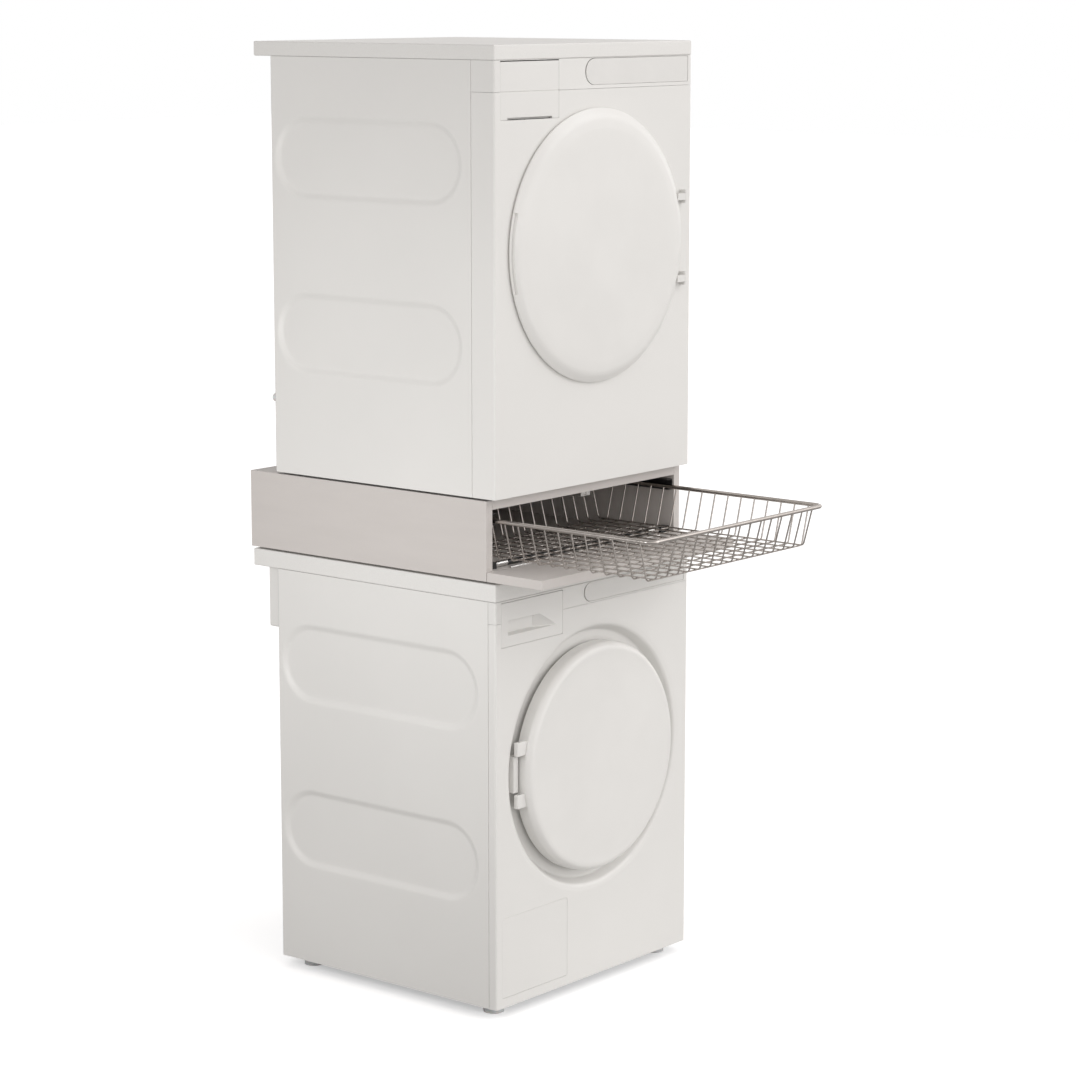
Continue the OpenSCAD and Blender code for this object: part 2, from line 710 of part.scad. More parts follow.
module dryer_door_cover() color("white") place()
    difference() {
        union() {
            turned(0, dryer_door_z, [
                [0, -dryer_door_proud - 3], [dryer_door_r - 60, -dryer_door_proud - 2],
                [dryer_door_r - 8, -dryer_door_proud], [dryer_door_r, -dryer_door_proud + 8],
                [dryer_door_r, -1], [dryer_mouth_r - 8, -1], [dryer_mouth_r - 8, -4],
                [dryer_door_r - 5, -4], [dryer_door_r - 5, -dryer_door_proud + 9],
                [dryer_door_r - 60, -dryer_door_proud + 3], [0, -dryer_door_proud + 2]]);
            for (s = [-1, 1]) translate([dryer_hinge_x, dryer_hinge_y, dryer_door_z + s * dryer_hinge_z])
                union() {
                    translate([0, 0, -10]) cylinder(r = 6, h = 20);
                    block([-dryer_hinge_x + sqrt(pow(dryer_door_r, 2) - pow(dryer_hinge_z + 10, 2)) - 2,
                           -4, -10], [0, 4, 10]);
                }
        }
        for (s = [-1, 1]) translate([dryer_hinge_x, dryer_hinge_y, dryer_door_z + s * dryer_hinge_z])
            translate([0, 0, -20]) cylinder(r = 3 + fit, h = 40);
        block([-dryer_door_r - 5, -dryer_door_proud + 9, dryer_door_z - 79],
              [-dryer_door_r + 12, -5, dryer_door_z + 79]);
    }

module dryer_door_inner() color("lightgray") place()
    turned(0, dryer_door_z, [
        [0, 28], [dryer_mouth_r - 40, 36], [dryer_mouth_r - 16, 36], [dryer_mouth_r - 10, 30],
        [dryer_mouth_r - 10, -1], [dryer_mouth_r - 14, -1], [dryer_mouth_r - 14, 28],
        [dryer_mouth_r - 20, 32], [dryer_mouth_r - 40, 32], [0, 24]]);

module dryer_hinge_post() color("lightgray") place()
    for (s = [-1, 1])
        translate([dryer_hinge_x, 0, dryer_door_z + s * dryer_hinge_z])
            union() {
                for (e = [-1, 1])
                    block([-5, dryer_hinge_y - 5, e * 14.5 - 4], [5, 0, e * 14.5 + 4]);
                translate([0, dryer_hinge_y, -18]) cylinder(r = 3, h = 36);
            }

module dryer_tank_front() color("white") place()
    difference() {
        block([tank_x0, 0, tank_z0], [tank_x1, 16, tank_z1]);
        block([tank_x0 - 1, -1, dryer_seam - 0.5], [tank_x1 + 1, 1, dryer_seam + 0.5]);
        block([tank_x0 + 20, -1, tank_z0 - 1], [tank_x1 - 20, 10, tank_z0 + 5]);
    }

module dryer_tank() color("lightgray") place()
    difference() {
        block([tank_x0 + 6, 16, tank_z0 + 14], [tank_x1 - 6, 16 + tank_d, tank_z1 - 14]);
        block([tank_x0 + 8, 18, tank_z0 + 16], [tank_x1 - 8, 14 + tank_d, tank_z1 - 16]);
        translate([(tank_x0 + tank_x1) / 2, 40, tank_z1 - 20]) cylinder(r = 12, h = 20);
    }

module dryer_drain_spigot() color("gray") place()
    translate([spigot_x, 0, spigot_z]) rotate([-90, 0, 0])
        difference() {
            union() {
                translate([0, 0, body_d - 12]) cylinder(r = spigot_r, h = 12 + spigot_len);
                translate([0, 0, body_d]) cylinder(r = spigot_r + 3, h = 2);
            }
            translate([0, 0, body_d - 4]) cylinder(r = spigot_r - 2, h = spigot_len + 5);
        }

// ---- basket unit ----

module stack_pads() color("dimgray") place()
    for (z = [washer_h, unit_top_z], x = [-half_w + foot_in, half_w - foot_in],
         y = [unit_back_set + foot_in, min(body_d, unit_rear) - foot_in])
        translate([x, y, z]) cylinder(r = pad_r, h = pad_t);

module unit_side_walls() color("tan") place()
    for (s = [0, 1]) mirror([s, 0, 0])
        block([-half_w, unit_back_set, unit_z], [-half_w + board, unit_rear, unit_top_z]);

module unit_floor() color("tan") place()
    difference() {
        block([-half_w + board, unit_back_set, unit_z],
              [half_w - board, unit_rear - back_t, unit_floor_z]);
        hinge_barrels(0.3);
    }

module unit_top() color("tan") place()
    block([-half_w + board, unit_back_set, unit_top_z - board],
          [half_w - board, unit_rear - back_t, unit_top_z]);

module unit_back() color("lightgray") place()
    block([-half_w + board, unit_rear - back_t, unit_z], [half_w - board, unit_rear, unit_top_z]);

module unit_flap() color("tan") place()
    difference() {
        block([-half_w, flap_front, unit_z], [half_w, unit_back_set - gap, unit_floor_z]);
        hinge_barrels(0.3);
    }

// the two hinge barrels, grown by a clearance
module hinge_barrels(extra) {
    for (x = [-barrel_x, barrel_x])
        translate([x - barrel_len / 2 - extra, flap_axis_y, unit_floor_z]) rotate([0, 90, 0])
            cylinder(r = barrel_r + extra, h = barrel_len + 2 * extra);
}

module flap_hinges() color("dimgray") place()
    hinge_barrels(0);

module flap_rod() color("black") place()
    union() {
        rod([-rod_half, rod_y, rod_z], [rod_half, rod_y, rod_z], rod_r - 1);
        for (s = [-1, 1])
            rod([s * rod_half, rod_y, rod_z], [s * (rod_half - sleeve_len), rod_y, rod_z], rod_r);
        for (s = [0, 1]) mirror([s, 0, 0])
            block([-half_w + board, rod_y - 8, unit_floor_z],
                  [-rod_half + 8, rod_y + 8, unit_floor_z + 2 * rod_r + 2]);
    }

module flap_catch() color("silver") place()
    union() {
        block([-14, unit_back_set + 2, unit_top_z - board - 8],
              [14, unit_back_set + 44, unit_top_z - board]);
        rod([0, unit_back_set + 4, unit_top_z - board - 4], [0, unit_back_set - 3, unit_top_z - board - 4], 3);
    }

module unit_runners() color("black") place()
    for (s = [0, 1]) mirror([s, 0, 0])
        difference() {
            block([-half_w + board, unit_back_set + 4, runner_low - runner_t],
                  [-rim_x + rim_r + 1, unit_rear - back_t - 2, runner_high + runner_t]);
            block([-half_w + board + runner_t, 0, runner_low], [half_w, unit_rear, runner_high]);
            block([-lip_x, 0, runner_low - runner_t - 1], [half_w, unit_rear, rim_z]);
        }

module basket_rim() color("silver") place()
    union() {
        y0 = basket_front + rim_r;
        y1 = basket_rear - rim_r;
        for (s = [-1, 1])
            rod([s * rim_x, y0 + corner_r, rim_z], [s * rim_x, y1 - corner_r, rim_z], rim_r);
        for (y = [y0, y1])
            rod([-rim_x + corner_r, y, rim_z], [rim_x - corner_r, y, rim_z], rim_r);
        for (sx = [0, 1], sy = [0, 1])
            translate([0, sy * (y0 + y1), 0]) mirror([sx, 0, 0]) mirror([0, sy, 0])
                translate([rim_x - corner_r, y0 + corner_r, rim_z])
                    rotate([0, 0, -90]) rotate_extrude(angle = 90)
                        translate([corner_r, 0]) circle(r = rim_r);
    }

// the wires bent up at both sides, drawn eight-sided
module basket_cross_wires() color("silver") place()
    for (i = [0:cross_wires - 1]) {
        $fn = 8;
        y = wire_y0 + 12 + i * (wire_y1 - wire_y0 - 24) / (cross_wires - 1);
        union() {
            rod([-floor_half - wire_r, y, floor_z], [floor_half + wire_r, y, floor_z], wire_r);
            for (s = [-1, 1])
                rod([s * floor_half, y, floor_z], [s * (rim_x - 3), y, side_wire_top], wire_r);
        }
    }

// the wires bent up at the front and rear, lying on the cross wires
module basket_long_wires() color("silver") place()
    for (i = [0:long_wires - 1]) {
        $fn = 8;
        x = -floor_half + 12 + i * (2 * floor_half - 24) / (long_wires - 1);
        union() {
            rod([x, wire_y0 - wire_r, long_z], [x, wire_y1 + wire_r, long_z], wire_r);
            rod([x, wire_y0, long_z], [x, basket_front + rim_r + 1, wire_top], wire_r);
            rod([x, wire_y1, long_z], [x, basket_rear - rim_r - 1, wire_top], wire_r);
        }
    }

washer_side_panels();
washer_rear_panel();
washer_front_panel();
washer_base();
washer_worktop();
washer_fascia();
washer_display();
washer_rear_box();
washer_feet();
washer_tub();
washer_counterweight();
washer_springs();
washer_dampers();
washer_gasket();
washer_stator();
washer_hinge_bracket();
washer_drawer_case();
washer_pump();
washer_inlet_valve();
washer_drum();
washer_lifters();
washer_rotor();
washer_door_cover();
washer_door_glass();
washer_hinge_arms();
washer_drawer_front();
washer_drawer_tray();
washer_service_flap();
washer_pump_filter();
dryer_side_panels();
dryer_rear_panel();
dryer_front_panel();
dryer_base();
dryer_worktop();
dryer_fascia();
dryer_display();
dryer_front_ring();
dryer_heat_pump();
dryer_drum();
dryer_lifters();
dryer_door_cover();
dryer_door_inner();
dryer_hinge_post();
dryer_lint_filter();
dryer_tank_front();
dryer_tank();
dryer_drain_spigot();
stack_pads();
unit_side_walls();
unit_floor();
unit_top();
unit_back();
unit_flap();
flap_hinges();
flap_rod();
flap_catch();
unit_runners();
basket_rim();
basket_cross_wires();
basket_long_wires();
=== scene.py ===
"""Washer and dryer stack with a pull-out laundry basket unit between the two machines."""
import math

import bmesh
import bpy
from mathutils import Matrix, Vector


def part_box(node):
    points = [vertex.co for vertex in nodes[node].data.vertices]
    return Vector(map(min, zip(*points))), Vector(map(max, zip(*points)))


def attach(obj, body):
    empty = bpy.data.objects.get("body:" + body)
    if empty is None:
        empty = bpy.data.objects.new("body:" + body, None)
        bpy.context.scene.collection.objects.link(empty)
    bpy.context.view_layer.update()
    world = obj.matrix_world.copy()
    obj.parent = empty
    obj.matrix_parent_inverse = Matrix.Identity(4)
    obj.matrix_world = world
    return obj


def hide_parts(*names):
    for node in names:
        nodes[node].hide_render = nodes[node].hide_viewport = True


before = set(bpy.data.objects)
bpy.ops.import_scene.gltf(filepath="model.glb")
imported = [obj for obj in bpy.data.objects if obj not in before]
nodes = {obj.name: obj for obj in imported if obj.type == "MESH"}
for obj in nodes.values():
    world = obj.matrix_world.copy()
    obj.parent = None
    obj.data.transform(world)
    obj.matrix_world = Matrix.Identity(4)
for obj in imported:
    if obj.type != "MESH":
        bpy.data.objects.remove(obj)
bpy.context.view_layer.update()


# ---------- side panels
# Each machine's sides are single sheets of white enamelled steel. Two long shallow shapes are
# pressed into each to stop it drumming, and its edges are folded in where it meets the front
# sheet and the rear panel.

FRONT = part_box("washer_front_panel")[0].y      # the machines' front plane


def at(x, y, z):
    """A point in metres from millimetres, with y counted from the machines' front plane."""
    return Vector((x / 1000, FRONT + y / 1000, z / 1000))


def span(node_name):
    """A CAD node's corners in millimetres, with y counted from the front plane."""
    lo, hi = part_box(node_name)
    return [(v.x * 1000, (v.y - FRONT) * 1000, v.z * 1000) for v in (lo, hi)]


def colour(code):
    """sRGB hex to linear RGBA."""
    channels = [int(code[i:i + 2], 16) / 255 for i in (1, 3, 5)]
    return [c / 12.92 if c <= 0.04045 else ((c + 0.055) / 1.055) ** 2.4 for c in channels] + [1]


def add(tree, kind, inputs=None, stops=(), to=None, **settings):
    """Adds a node. An input is a value, a socket, or a node for its first output. The stops are a
    colour ramp's positions and hex colours, and to is the socket the node feeds."""
    made = tree.nodes.new(kind)
    for name, value in settings.items():
        setattr(made, name, value)
    for name, value in (inputs or {}).items():
        if isinstance(value, bpy.types.Node):
            value = value.outputs[0]
        if isinstance(value, bpy.types.NodeSocket):
            tree.links.new(value, made.inputs[name])
        else:
            made.inputs[name].default_value = value
    for index, (position, code) in enumerate(stops):
        element = made.color_ramp.elements[index]
        element.position, element.color = position, colour(code)
    if to:
        tree.links.new(made.outputs[0], to)
    return made


def new_material(name):
    """A material with an empty tree, a surface output and the object's own coordinates."""
    made = bpy.data.materials.new(name)
    made.use_nodes = True
    tree = made.node_tree
    tree.nodes.clear()
    out = add(tree, "ShaderNodeOutputMaterial")
    place = add(tree, "ShaderNodeTexCoord").outputs["Object"]
    return made, tree, out.inputs["Surface"], place


# White vitreous enamel on steel: even and slightly warm, a soft sheen, and the faint orange peel
# of a sprayed and fired coat. The real peel is about 2 mm across and is drawn at 5 mm to show.
white_enamel, tree, surface, place = new_material("white_enamel")
peel = add(tree, "ShaderNodeTexNoise", {"Vector": place, "Scale": 200, "Detail": 2})
cloud = add(tree, "ShaderNodeTexNoise", {"Vector": place, "Scale": 2.2, "Detail": 3})
tint = add(tree, "ShaderNodeValToRGB", {"Fac": cloud}, ((0.3, "#E3E2DF"), (0.7, "#E7E6E3")))
gloss = add(tree, "ShaderNodeMapRange", {"Value": cloud, "To Min": 0.36, "To Max": 0.46})
bump = add(tree, "ShaderNodeBump", {"Height": peel, "Strength": 0.06, "Distance": 0.0004})
add(tree, "ShaderNodeBsdfPrincipled", {
    "Base Color": tint, "Roughness": gloss, "IOR": 1.5, "Normal": bump}, to=surface)


def ring(bm, points):
    """Vertices for a row of points."""
    return [bm.verts.new(p) for p in points]


def bridge(bm, *rows, closed=True):
    """Quads between rows of the same length, each row to the next."""
    for a, b in zip(rows, rows[1:]):
        for i in range(len(a) if closed else len(a) - 1):
            j = (i + 1) % len(a)
            bm.faces.new((a[i], a[j], b[j], b[i]))


def fill(bm, *loops):
    """A flat face with holes: the first loop is its outline."""
    edges = []
    for loop in loops:
        for a, b in zip(loop, loop[1:] + loop[:1]):
            edges.append(bm.edges.get((a, b)) or bm.edges.new((a, b)))
    bmesh.ops.triangle_fill(bm, use_beauty=True, edges=edges)


def piece(name, bm, finish, body, stands_for=(), thick=0, away=None, round_off=0, crease=40,
          cut=None):
    """Turns a bmesh into a piece that rides on a body. An open sheet facing away gets its thickness
    behind it, round_off rounds its sharp edges, and the bmesh cut is taken out of it."""
    bmesh.ops.recalc_face_normals(bm, faces=bm.faces)
    if away is not None:
        if sum(f.normal.dot(Vector(away)) * f.calc_area() for f in bm.faces) < 0:
            bmesh.ops.reverse_faces(bm, faces=bm.faces)
    mesh = bpy.data.meshes.new(name)
    bm.to_mesh(mesh)
    bm.free()
    made = bpy.data.objects.new(name, mesh)
    bpy.context.scene.collection.objects.link(made)
    if thick:
        made.modifiers.new("thickness", "SOLIDIFY").thickness = thick / 1000
    if round_off:
        edge = made.modifiers.new("rounding", "BEVEL")
        edge.width, edge.segments, edge.angle_limit = round_off / 1000, 3, math.radians(40)
    if cut:
        bmesh.ops.recalc_face_normals(cut, faces=cut.faces)
        cutter = bpy.data.objects.new("cutter", bpy.data.meshes.new("cutter"))
        cut.to_mesh(cutter.data)
        cut.free()
        bpy.context.scene.collection.objects.link(cutter)
        made.modifiers.new("cut", "BOOLEAN").object = cutter
    if thick or round_off or cut:
        solid = bpy.data.meshes.new_from_object(made.evaluated_get(bpy.context.evaluated_depsgraph_get()))
        made.modifiers.clear()
        made.data = solid
    if cut:
        bpy.data.objects.remove(cutter)
    made.data.name = name
    made.data.shade_smooth()
    made.data.set_sharp_from_angle(angle=math.radians(crease))
    made.modifiers.new("flat faces stay flat", "WEIGHTED_NORMAL").keep_sharp = True
    made.data.materials.clear()
    made.data.materials.append(finish)
    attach(made, body)
    if stands_for:
        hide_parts(*stands_for)


def stadium(y, z, long, high, grow, steps=20):
    """Points round a stadium in a side panel, as (y, z)."""
    r = high / 2
    points = []
    for end in (0, 1):
        for k in range(steps + 1):
            angle = math.pi * (end - 0.5 + k / steps)
            points.append((y + (1 - 2 * end) * (long / 2 - r) + (r + grow) * math.cos(angle),
                           z + (r + grow) * math.sin(angle)))
    return points


def fold(bm, edge, profile, z0, z1):
    """Carries a sheet's upright edge round a fold; profile is (x, y)."""
    bridge(bm, edge, *[ring(bm, [at(x, y, z0), at(x, y, z1)]) for x, y in profile], closed=False)


SHEET = 1.2
PRESS_DEEP = 6
PRESS_SLOPE = 19
PRESS_HIGH = 165


def side_panel(bm, side, low, high, press_in, press_up):
    """One side sheet; press_up are the pressed shapes' heights above its lower edge."""
    x, y0, z0 = side * high[0], low[1], low[2]
    y1, z1 = high[1], high[2]
    lip, hem = 1.5, 3
    into = lambda deep: x - side * deep
    flat = [(y0 + lip, z0), (y1 - hem, z0), (y1 - hem, z1), (y0 + lip, z1)]
    outline = ring(bm, [at(x, y, z) for y, z in flat])
    holes = []
    long = y1 - press_in - 6
    for up in press_up:
        mid = (press_in + long / 2, z0 + up)
        rows = []
        for step in range(-1, 12):
            t = min(max(step / 10, 0), 1)
            grow = -PRESS_SLOPE * step / 10
            deep = PRESS_DEEP * t * t * t * (6 * t * t - 15 * t + 10)
            rows.append(ring(bm, [at(into(deep), y, z) for y, z in
                                  stadium(*mid, long, PRESS_HIGH, grow)]))
        bridge(bm, *rows)
        fill(bm, rows[-1])
        holes.append(rows[0])
    fill(bm, outline, *holes)
    for first, last, start, radius, run in ((0, 3, y0, lip, 10), (1, 2, y1, hem, 20)):
        turn = 1 if start == y1 else -1
        profile = [(into(radius * (1 - math.cos(a))), start - turn * radius * (1 - math.sin(a)))
                   for a in (math.pi / 2 * k / 5 for k in range(1, 6))] + [(into(radius + run), start)]
        fold(bm, [outline[first], outline[last]], profile, z0, z1)


for machine, press_in, press_up in (("washer", 40, (276, 611)), ("dryer", 76, (278, 615))):
    low, high = span(machine + "_side_panels")
    for side, word in ((-1, "left"), (1, "right")):
        bm = bmesh.new()
        side_panel(bm, side, low, high, press_in, press_up)
        piece(f"{machine}_{word}_panel", bm, white_enamel, "cabinets", [machine + "_side_panels"],
              thick=SHEET, away=(side, 0, 0))


# ---------- front sheets
# The same enamelled steel, wrapped round both front corners on a 4 mm fold. The washer's sheet is
# deep-drawn into a dished ring round its door, and both are cut for the drawers and flaps.

CORNER = 4
WRAP = {"washer": 18.5, "dryer": 56.5}      # how far each front runs back along the sides


def wrap_back(bm, left, right, half, wrap, z0, z1):
    """Wraps a front's left and right edges round its corners and back, with a hem behind."""
    profile = [(half - CORNER * (1 - math.sin(a)), CORNER * (1 - math.cos(a)))
               for a in (math.pi / 2 * k / 6 for k in range(1, 7))]
    profile += [(half, wrap - 1.5), (half - 0.45, wrap - 0.45), (half - 1.5, wrap), (half - 11, wrap)]
    for side, edge in ((-1, left), (1, right)):
        fold(bm, edge, [(side * x, y) for x, y in profile], z0, z1)


def wrapped_sheet(bm, low, high, wrap, notch=None, hole_loops=()):
    """A front sheet from z low to high with its sides wrapped back; notch is cut from its top."""
    half = high[0]
    z0, z1 = low[2], high[2]
    edge = half - CORNER
    outline = [(-edge, z0), (edge, z0), (edge, z1)]
    if notch:
        x0, x1, depth = notch
        outline += [(x1, z1), (x1, depth), (x0, depth), (x0, z1)]
    outline.append((-edge, z1))
    corners = ring(bm, [at(x, 0, z) for x, z in outline])
    fill(bm, corners, *hole_loops)
    wrap_back(bm, [corners[0], corners[-1]], [corners[1], corners[2]], half, wrap, z0, z1)


def rounded_box(x0, z0, x1, z1, r, steps=5):
    """Points round a rectangle with rounded corners, as (x, z)."""
    points = []
    centres = ((x1 - r, z0 + r), (x1 - r, z1 - r), (x0 + r, z1 - r), (x0 + r, z0 + r))
    for (cx, cz), start in zip(centres, (-90, 0, 90, 180)):
        for k in range(steps + 1):
            angle = math.radians(start + 90 * k / steps)
            points.append((cx + r * math.cos(angle), cz + r * math.sin(angle)))
    return points


def soften(points, radius, steps=5):
    """Rounds the inner corners of a row of (a, b) points."""
    out = [points[0]]
    for before, here, after in zip(points, points[1:], points[2:]):
        p, a, b = Vector(here), Vector(before), Vector(after)
        reach = min(radius, (a - p).length * 0.45, (b - p).length * 0.45)
        start, stop = p + (a - p).normalized() * reach, p + (b - p).normalized() * reach
        for k in range(steps + 1):
            t = k / steps
            out.append(tuple(start * (1 - t) ** 2 + p * 2 * t * (1 - t) + stop * t * t))
    out.append(points[-1])
    return out


def turned_rows(bm, profile, z, steps=120):
    """Rows of vertices turned about a line along y at height z; profile is (radius, y)."""
    angles = [2 * math.pi * k / steps for k in range(steps)]
    return [ring(bm, [at(r * math.cos(a), y, z + r * math.sin(a)) for a in angles]) for r, y in profile]


GAP = 1
washer_low, washer_high = span("washer_front_panel")
door_low, door_high = span("washer_door_cover")
WASHER_DOOR_Z = (door_low[2] + door_high[2]) / 2
WASHER_DOOR_R = (door_high[0] - door_low[0]) / 2
DISH_R = 260
DISH_DEEP = 22
WASHER_MOUTH_R = 165

drawer_low, drawer_high = span("washer_drawer_front")
flap_low, flap_high = span("washer_service_flap")
bm = bmesh.new()
dish = soften([(DISH_R + 12, 0), (DISH_R + 9, 0), (DISH_R - 3, 1.5), (DISH_R - 14, DISH_DEEP),
               (DISH_R - 22, DISH_DEEP), (WASHER_MOUTH_R + 4, DISH_DEEP),
               (WASHER_MOUTH_R, DISH_DEEP + 3), (WASHER_MOUTH_R, DISH_DEEP + 8)], 9)
rows = turned_rows(bm, dish, WASHER_DOOR_Z)
bridge(bm, *rows)
flap_hole = ring(bm, [at(x, 0, z) for x, z in rounded_box(
    flap_low[0] - GAP, flap_low[2] - GAP, flap_high[0] + GAP, flap_high[2] + GAP, 4)])
hem = ring(bm, [at(x, 3, z) for x, z in rounded_box(
    flap_low[0] - GAP, flap_low[2] - GAP, flap_high[0] + GAP, flap_high[2] + GAP, 4)])
bridge(bm, flap_hole, hem)
wrapped_sheet(bm, washer_low, washer_high, WRAP["washer"],
              (drawer_low[0] - GAP, drawer_high[0] + GAP, drawer_low[2] - GAP), [rows[0], flap_hole])
piece("washer_front_sheet", bm, white_enamel, "cabinets", ["washer_front_panel"],
      thick=SHEET, away=(0, -1, 0))

dryer_low, dryer_high = span("dryer_front_panel")
tank_low, tank_high = span("dryer_tank_front")
cover_low, cover_high = span("dryer_door_cover")
DRYER_DOOR_Z = (cover_low[2] + cover_high[2]) / 2
DRYER_DOOR_R = -cover_low[0]
DRYER_MOUTH_R = 190
bm = bmesh.new()
mouth = soften([(DRYER_MOUTH_R + 4, 0), (DRYER_MOUTH_R, 0), (DRYER_MOUTH_R, 40)], 3)
rows = turned_rows(bm, mouth, DRYER_DOOR_Z)
bridge(bm, *rows)
wrapped_sheet(bm, dryer_low, dryer_high, WRAP["dryer"],
              (tank_low[0] - GAP, tank_high[0] + GAP, tank_low[2] - GAP), [rows[0]])
piece("dryer_front_sheet", bm, white_enamel, "cabinets", ["dryer_front_panel"],
      thick=SHEET, away=(0, -1, 0))


# ---------- control fascias
# Injection-moulded white ABS, wrapped back at both ends like the sheets below. A touch window,
# rounded at its left end, is set into each, and the drawers close up against their left half.

# White satin ABS: a little warmer than the enamel, with the fine even grain of an etched mould.
# The grain is about 0.3 mm and is drawn at 1.5 mm to show.
white_abs, tree, surface, place = new_material("white_satin_abs")
grain = add(tree, "ShaderNodeTexNoise", {"Vector": place, "Scale": 650, "Detail": 3})
cloud = add(tree, "ShaderNodeTexNoise", {"Vector": place, "Scale": 3, "Detail": 2})
tint = add(tree, "ShaderNodeValToRGB", {"Fac": cloud}, ((0.3, "#E2E1DE"), (0.7, "#E6E5E2")))
bump = add(tree, "ShaderNodeBump", {"Height": grain, "Strength": 0.08, "Distance": 0.0002})
add(tree, "ShaderNodeBsdfPrincipled", {
    "Base Color": tint, "Roughness": 0.45, "IOR": 1.53, "Normal": bump}, to=surface)

# White gloss PMMA over a white print: the touch windows, smoother and a touch greyer.
window_pmma, tree, surface, place = new_material("white_gloss_pmma")
smear = add(tree, "ShaderNodeTexNoise", {"Vector": place, "Scale": 14, "Detail": 4})
tint = add(tree, "ShaderNodeValToRGB", {"Fac": smear}, ((0.3, "#DEDDDA"), (0.7, "#E1E0DD")))
gloss = add(tree, "ShaderNodeMapRange", {"Value": smear, "To Min": 0.16, "To Max": 0.26})
add(tree, "ShaderNodeBsdfPrincipled", {
    "Base Color": tint, "Roughness": gloss, "IOR": 1.49}, to=surface)


def window_loop(low, high, inset, reach=0, steps=14):
    """Points round a touch window, its left end round and moved left by reach, as (x, z)."""
    x0, z0, x1, z1 = low[0] + inset, low[2] + inset, high[0] - inset, high[2] - inset
    r = (z1 - z0) / 2
    points = [(x1 - 3, z0), (x1 - 0.9, z0 + 0.9), (x1, z0 + 3),
              (x1, z1 - 3), (x1 - 0.9, z1 - 0.9), (x1 - 3, z1)]
    for k in range(steps + 1):
        angle = math.pi * (0.5 + k / steps)
        points.append((x0 + r - reach + r * math.cos(angle), z0 + r + r * math.sin(angle)))
    return points


for machine, front in (("washer", "washer_drawer_front"), ("dryer", "dryer_tank_front")):
    low, high = span(machine + "_fascia")
    w_low, w_high = span(machine + "_display")
    f_low, f_high = span(front)
    bm = bmesh.new()
    outer = ring(bm, [at(x, 0, z) for x, z in window_loop(w_low, w_high, -1.4, 7)])
    brow = ring(bm, [at(x, 0.5, z) for x, z in window_loop(w_low, w_high, -1, 4)])
    wall = ring(bm, [at(x, 3.5, z) for x, z in window_loop(w_low, w_high, -0.9)])
    bridge(bm, outer, brow, wall)
    half = high[0]
    edge = half - CORNER
    x0, x1, top = f_low[0] - GAP, f_high[0] + GAP, f_high[2] + GAP
    outline = [(-edge, low[2]), (x0, low[2]), (x0, top), (x1, top), (x1, low[2]), (edge, low[2]),
               (edge, high[2]), (-edge, high[2])]
    corners = ring(bm, [at(x, 0, z) for x, z in outline])
    fill(bm, corners, outer)
    wrap_back(bm, [corners[0], corners[-1]], [corners[5], corners[6]], half, WRAP[machine],
              low[2], high[2])
    piece(machine + "_control_fascia", bm, white_abs, "cabinets", [machine + "_fascia"],
          thick=SHEET, away=(0, -1, 0))
    bm = bmesh.new()
    face = ring(bm, [at(x, 0.8, z) for x, z in window_loop(w_low, w_high, -0.2)])
    rim = ring(bm, [at(x, 1.1, z) for x, z in window_loop(w_low, w_high, -0.6)])
    back = ring(bm, [at(x, 3, z) for x, z in window_loop(w_low, w_high, -0.6)])
    fill(bm, face)
    bridge(bm, face, rim)
    bridge(bm, rim, back)
    fill(bm, back)
    piece(machine + "_touch_window", bm, window_pmma, "cabinets", [machine + "_display"],
          crease=60)


# ---------- worktops
# White melamine-faced board with a post-formed edge, laid on each machine and running past the
# rear panel to cover hoses and service box.

# White melamine laminate: matt, with a pebbled texture under 1 mm that is drawn at 2 mm to show.
laminate, tree, surface, place = new_material("white_melamine")
pebble = add(tree, "ShaderNodeTexNoise", {"Vector": place, "Scale": 500, "Detail": 4})
tint = add(tree, "ShaderNodeValToRGB", {"Fac": pebble}, ((0.35, "#E3E2DF"), (0.65, "#E7E6E3")))
bump = add(tree, "ShaderNodeBump", {"Height": pebble, "Strength": 0.12, "Distance": 0.0003})
add(tree, "ShaderNodeBsdfPrincipled", {
    "Base Color": tint, "Roughness": 0.5, "IOR": 1.5, "Normal": bump}, to=surface)


def block(bm, low, high):
    """A box between two corners in millimetres."""
    for v in bmesh.ops.create_cube(bm, size=1)["verts"]:
        v.co = at(*[(a + b) / 2 + c * (b - a) for a, b, c in zip(low, high, v.co)])


def board(name, node, finish, round_off, body="cabinets"):
    """A panel as large as the node it stands for."""
    bm = bmesh.new()
    block(bm, *span(node))
    piece(name, bm, finish, body, [node], round_off=round_off)


for machine in ("washer", "dryer"):
    board(machine + "_top_board", machine + "_worktop", laminate, 2.5)


# ---------- washer door
# A thick white ABS cover, crowned on its face and rounded at its rim, over a pressed-glass bowl.
# It hangs at the left on two moulded arms that reach to a bracket in the dished ring.

# White gloss ABS: moulded and polished, so it takes a soft window-like highlight.
gloss_abs, tree, surface, place = new_material("white_gloss_abs")
wave = add(tree, "ShaderNodeTexNoise", {"Vector": place, "Scale": 9, "Detail": 2})
tint = add(tree, "ShaderNodeValToRGB", {"Fac": wave}, ((0.3, "#E5E4E1"), (0.7, "#E8E7E4")))
gloss = add(tree, "ShaderNodeMapRange", {"Value": wave, "To Min": 0.27, "To Max": 0.33})
bump = add(tree, "ShaderNodeBump", {"Height": wave, "Strength": 0.03, "Distance": 0.001})
add(tree, "ShaderNodeBsdfPrincipled", {
    "Base Color": tint, "Roughness": gloss, "IOR": 1.53, "Normal": bump}, to=surface)


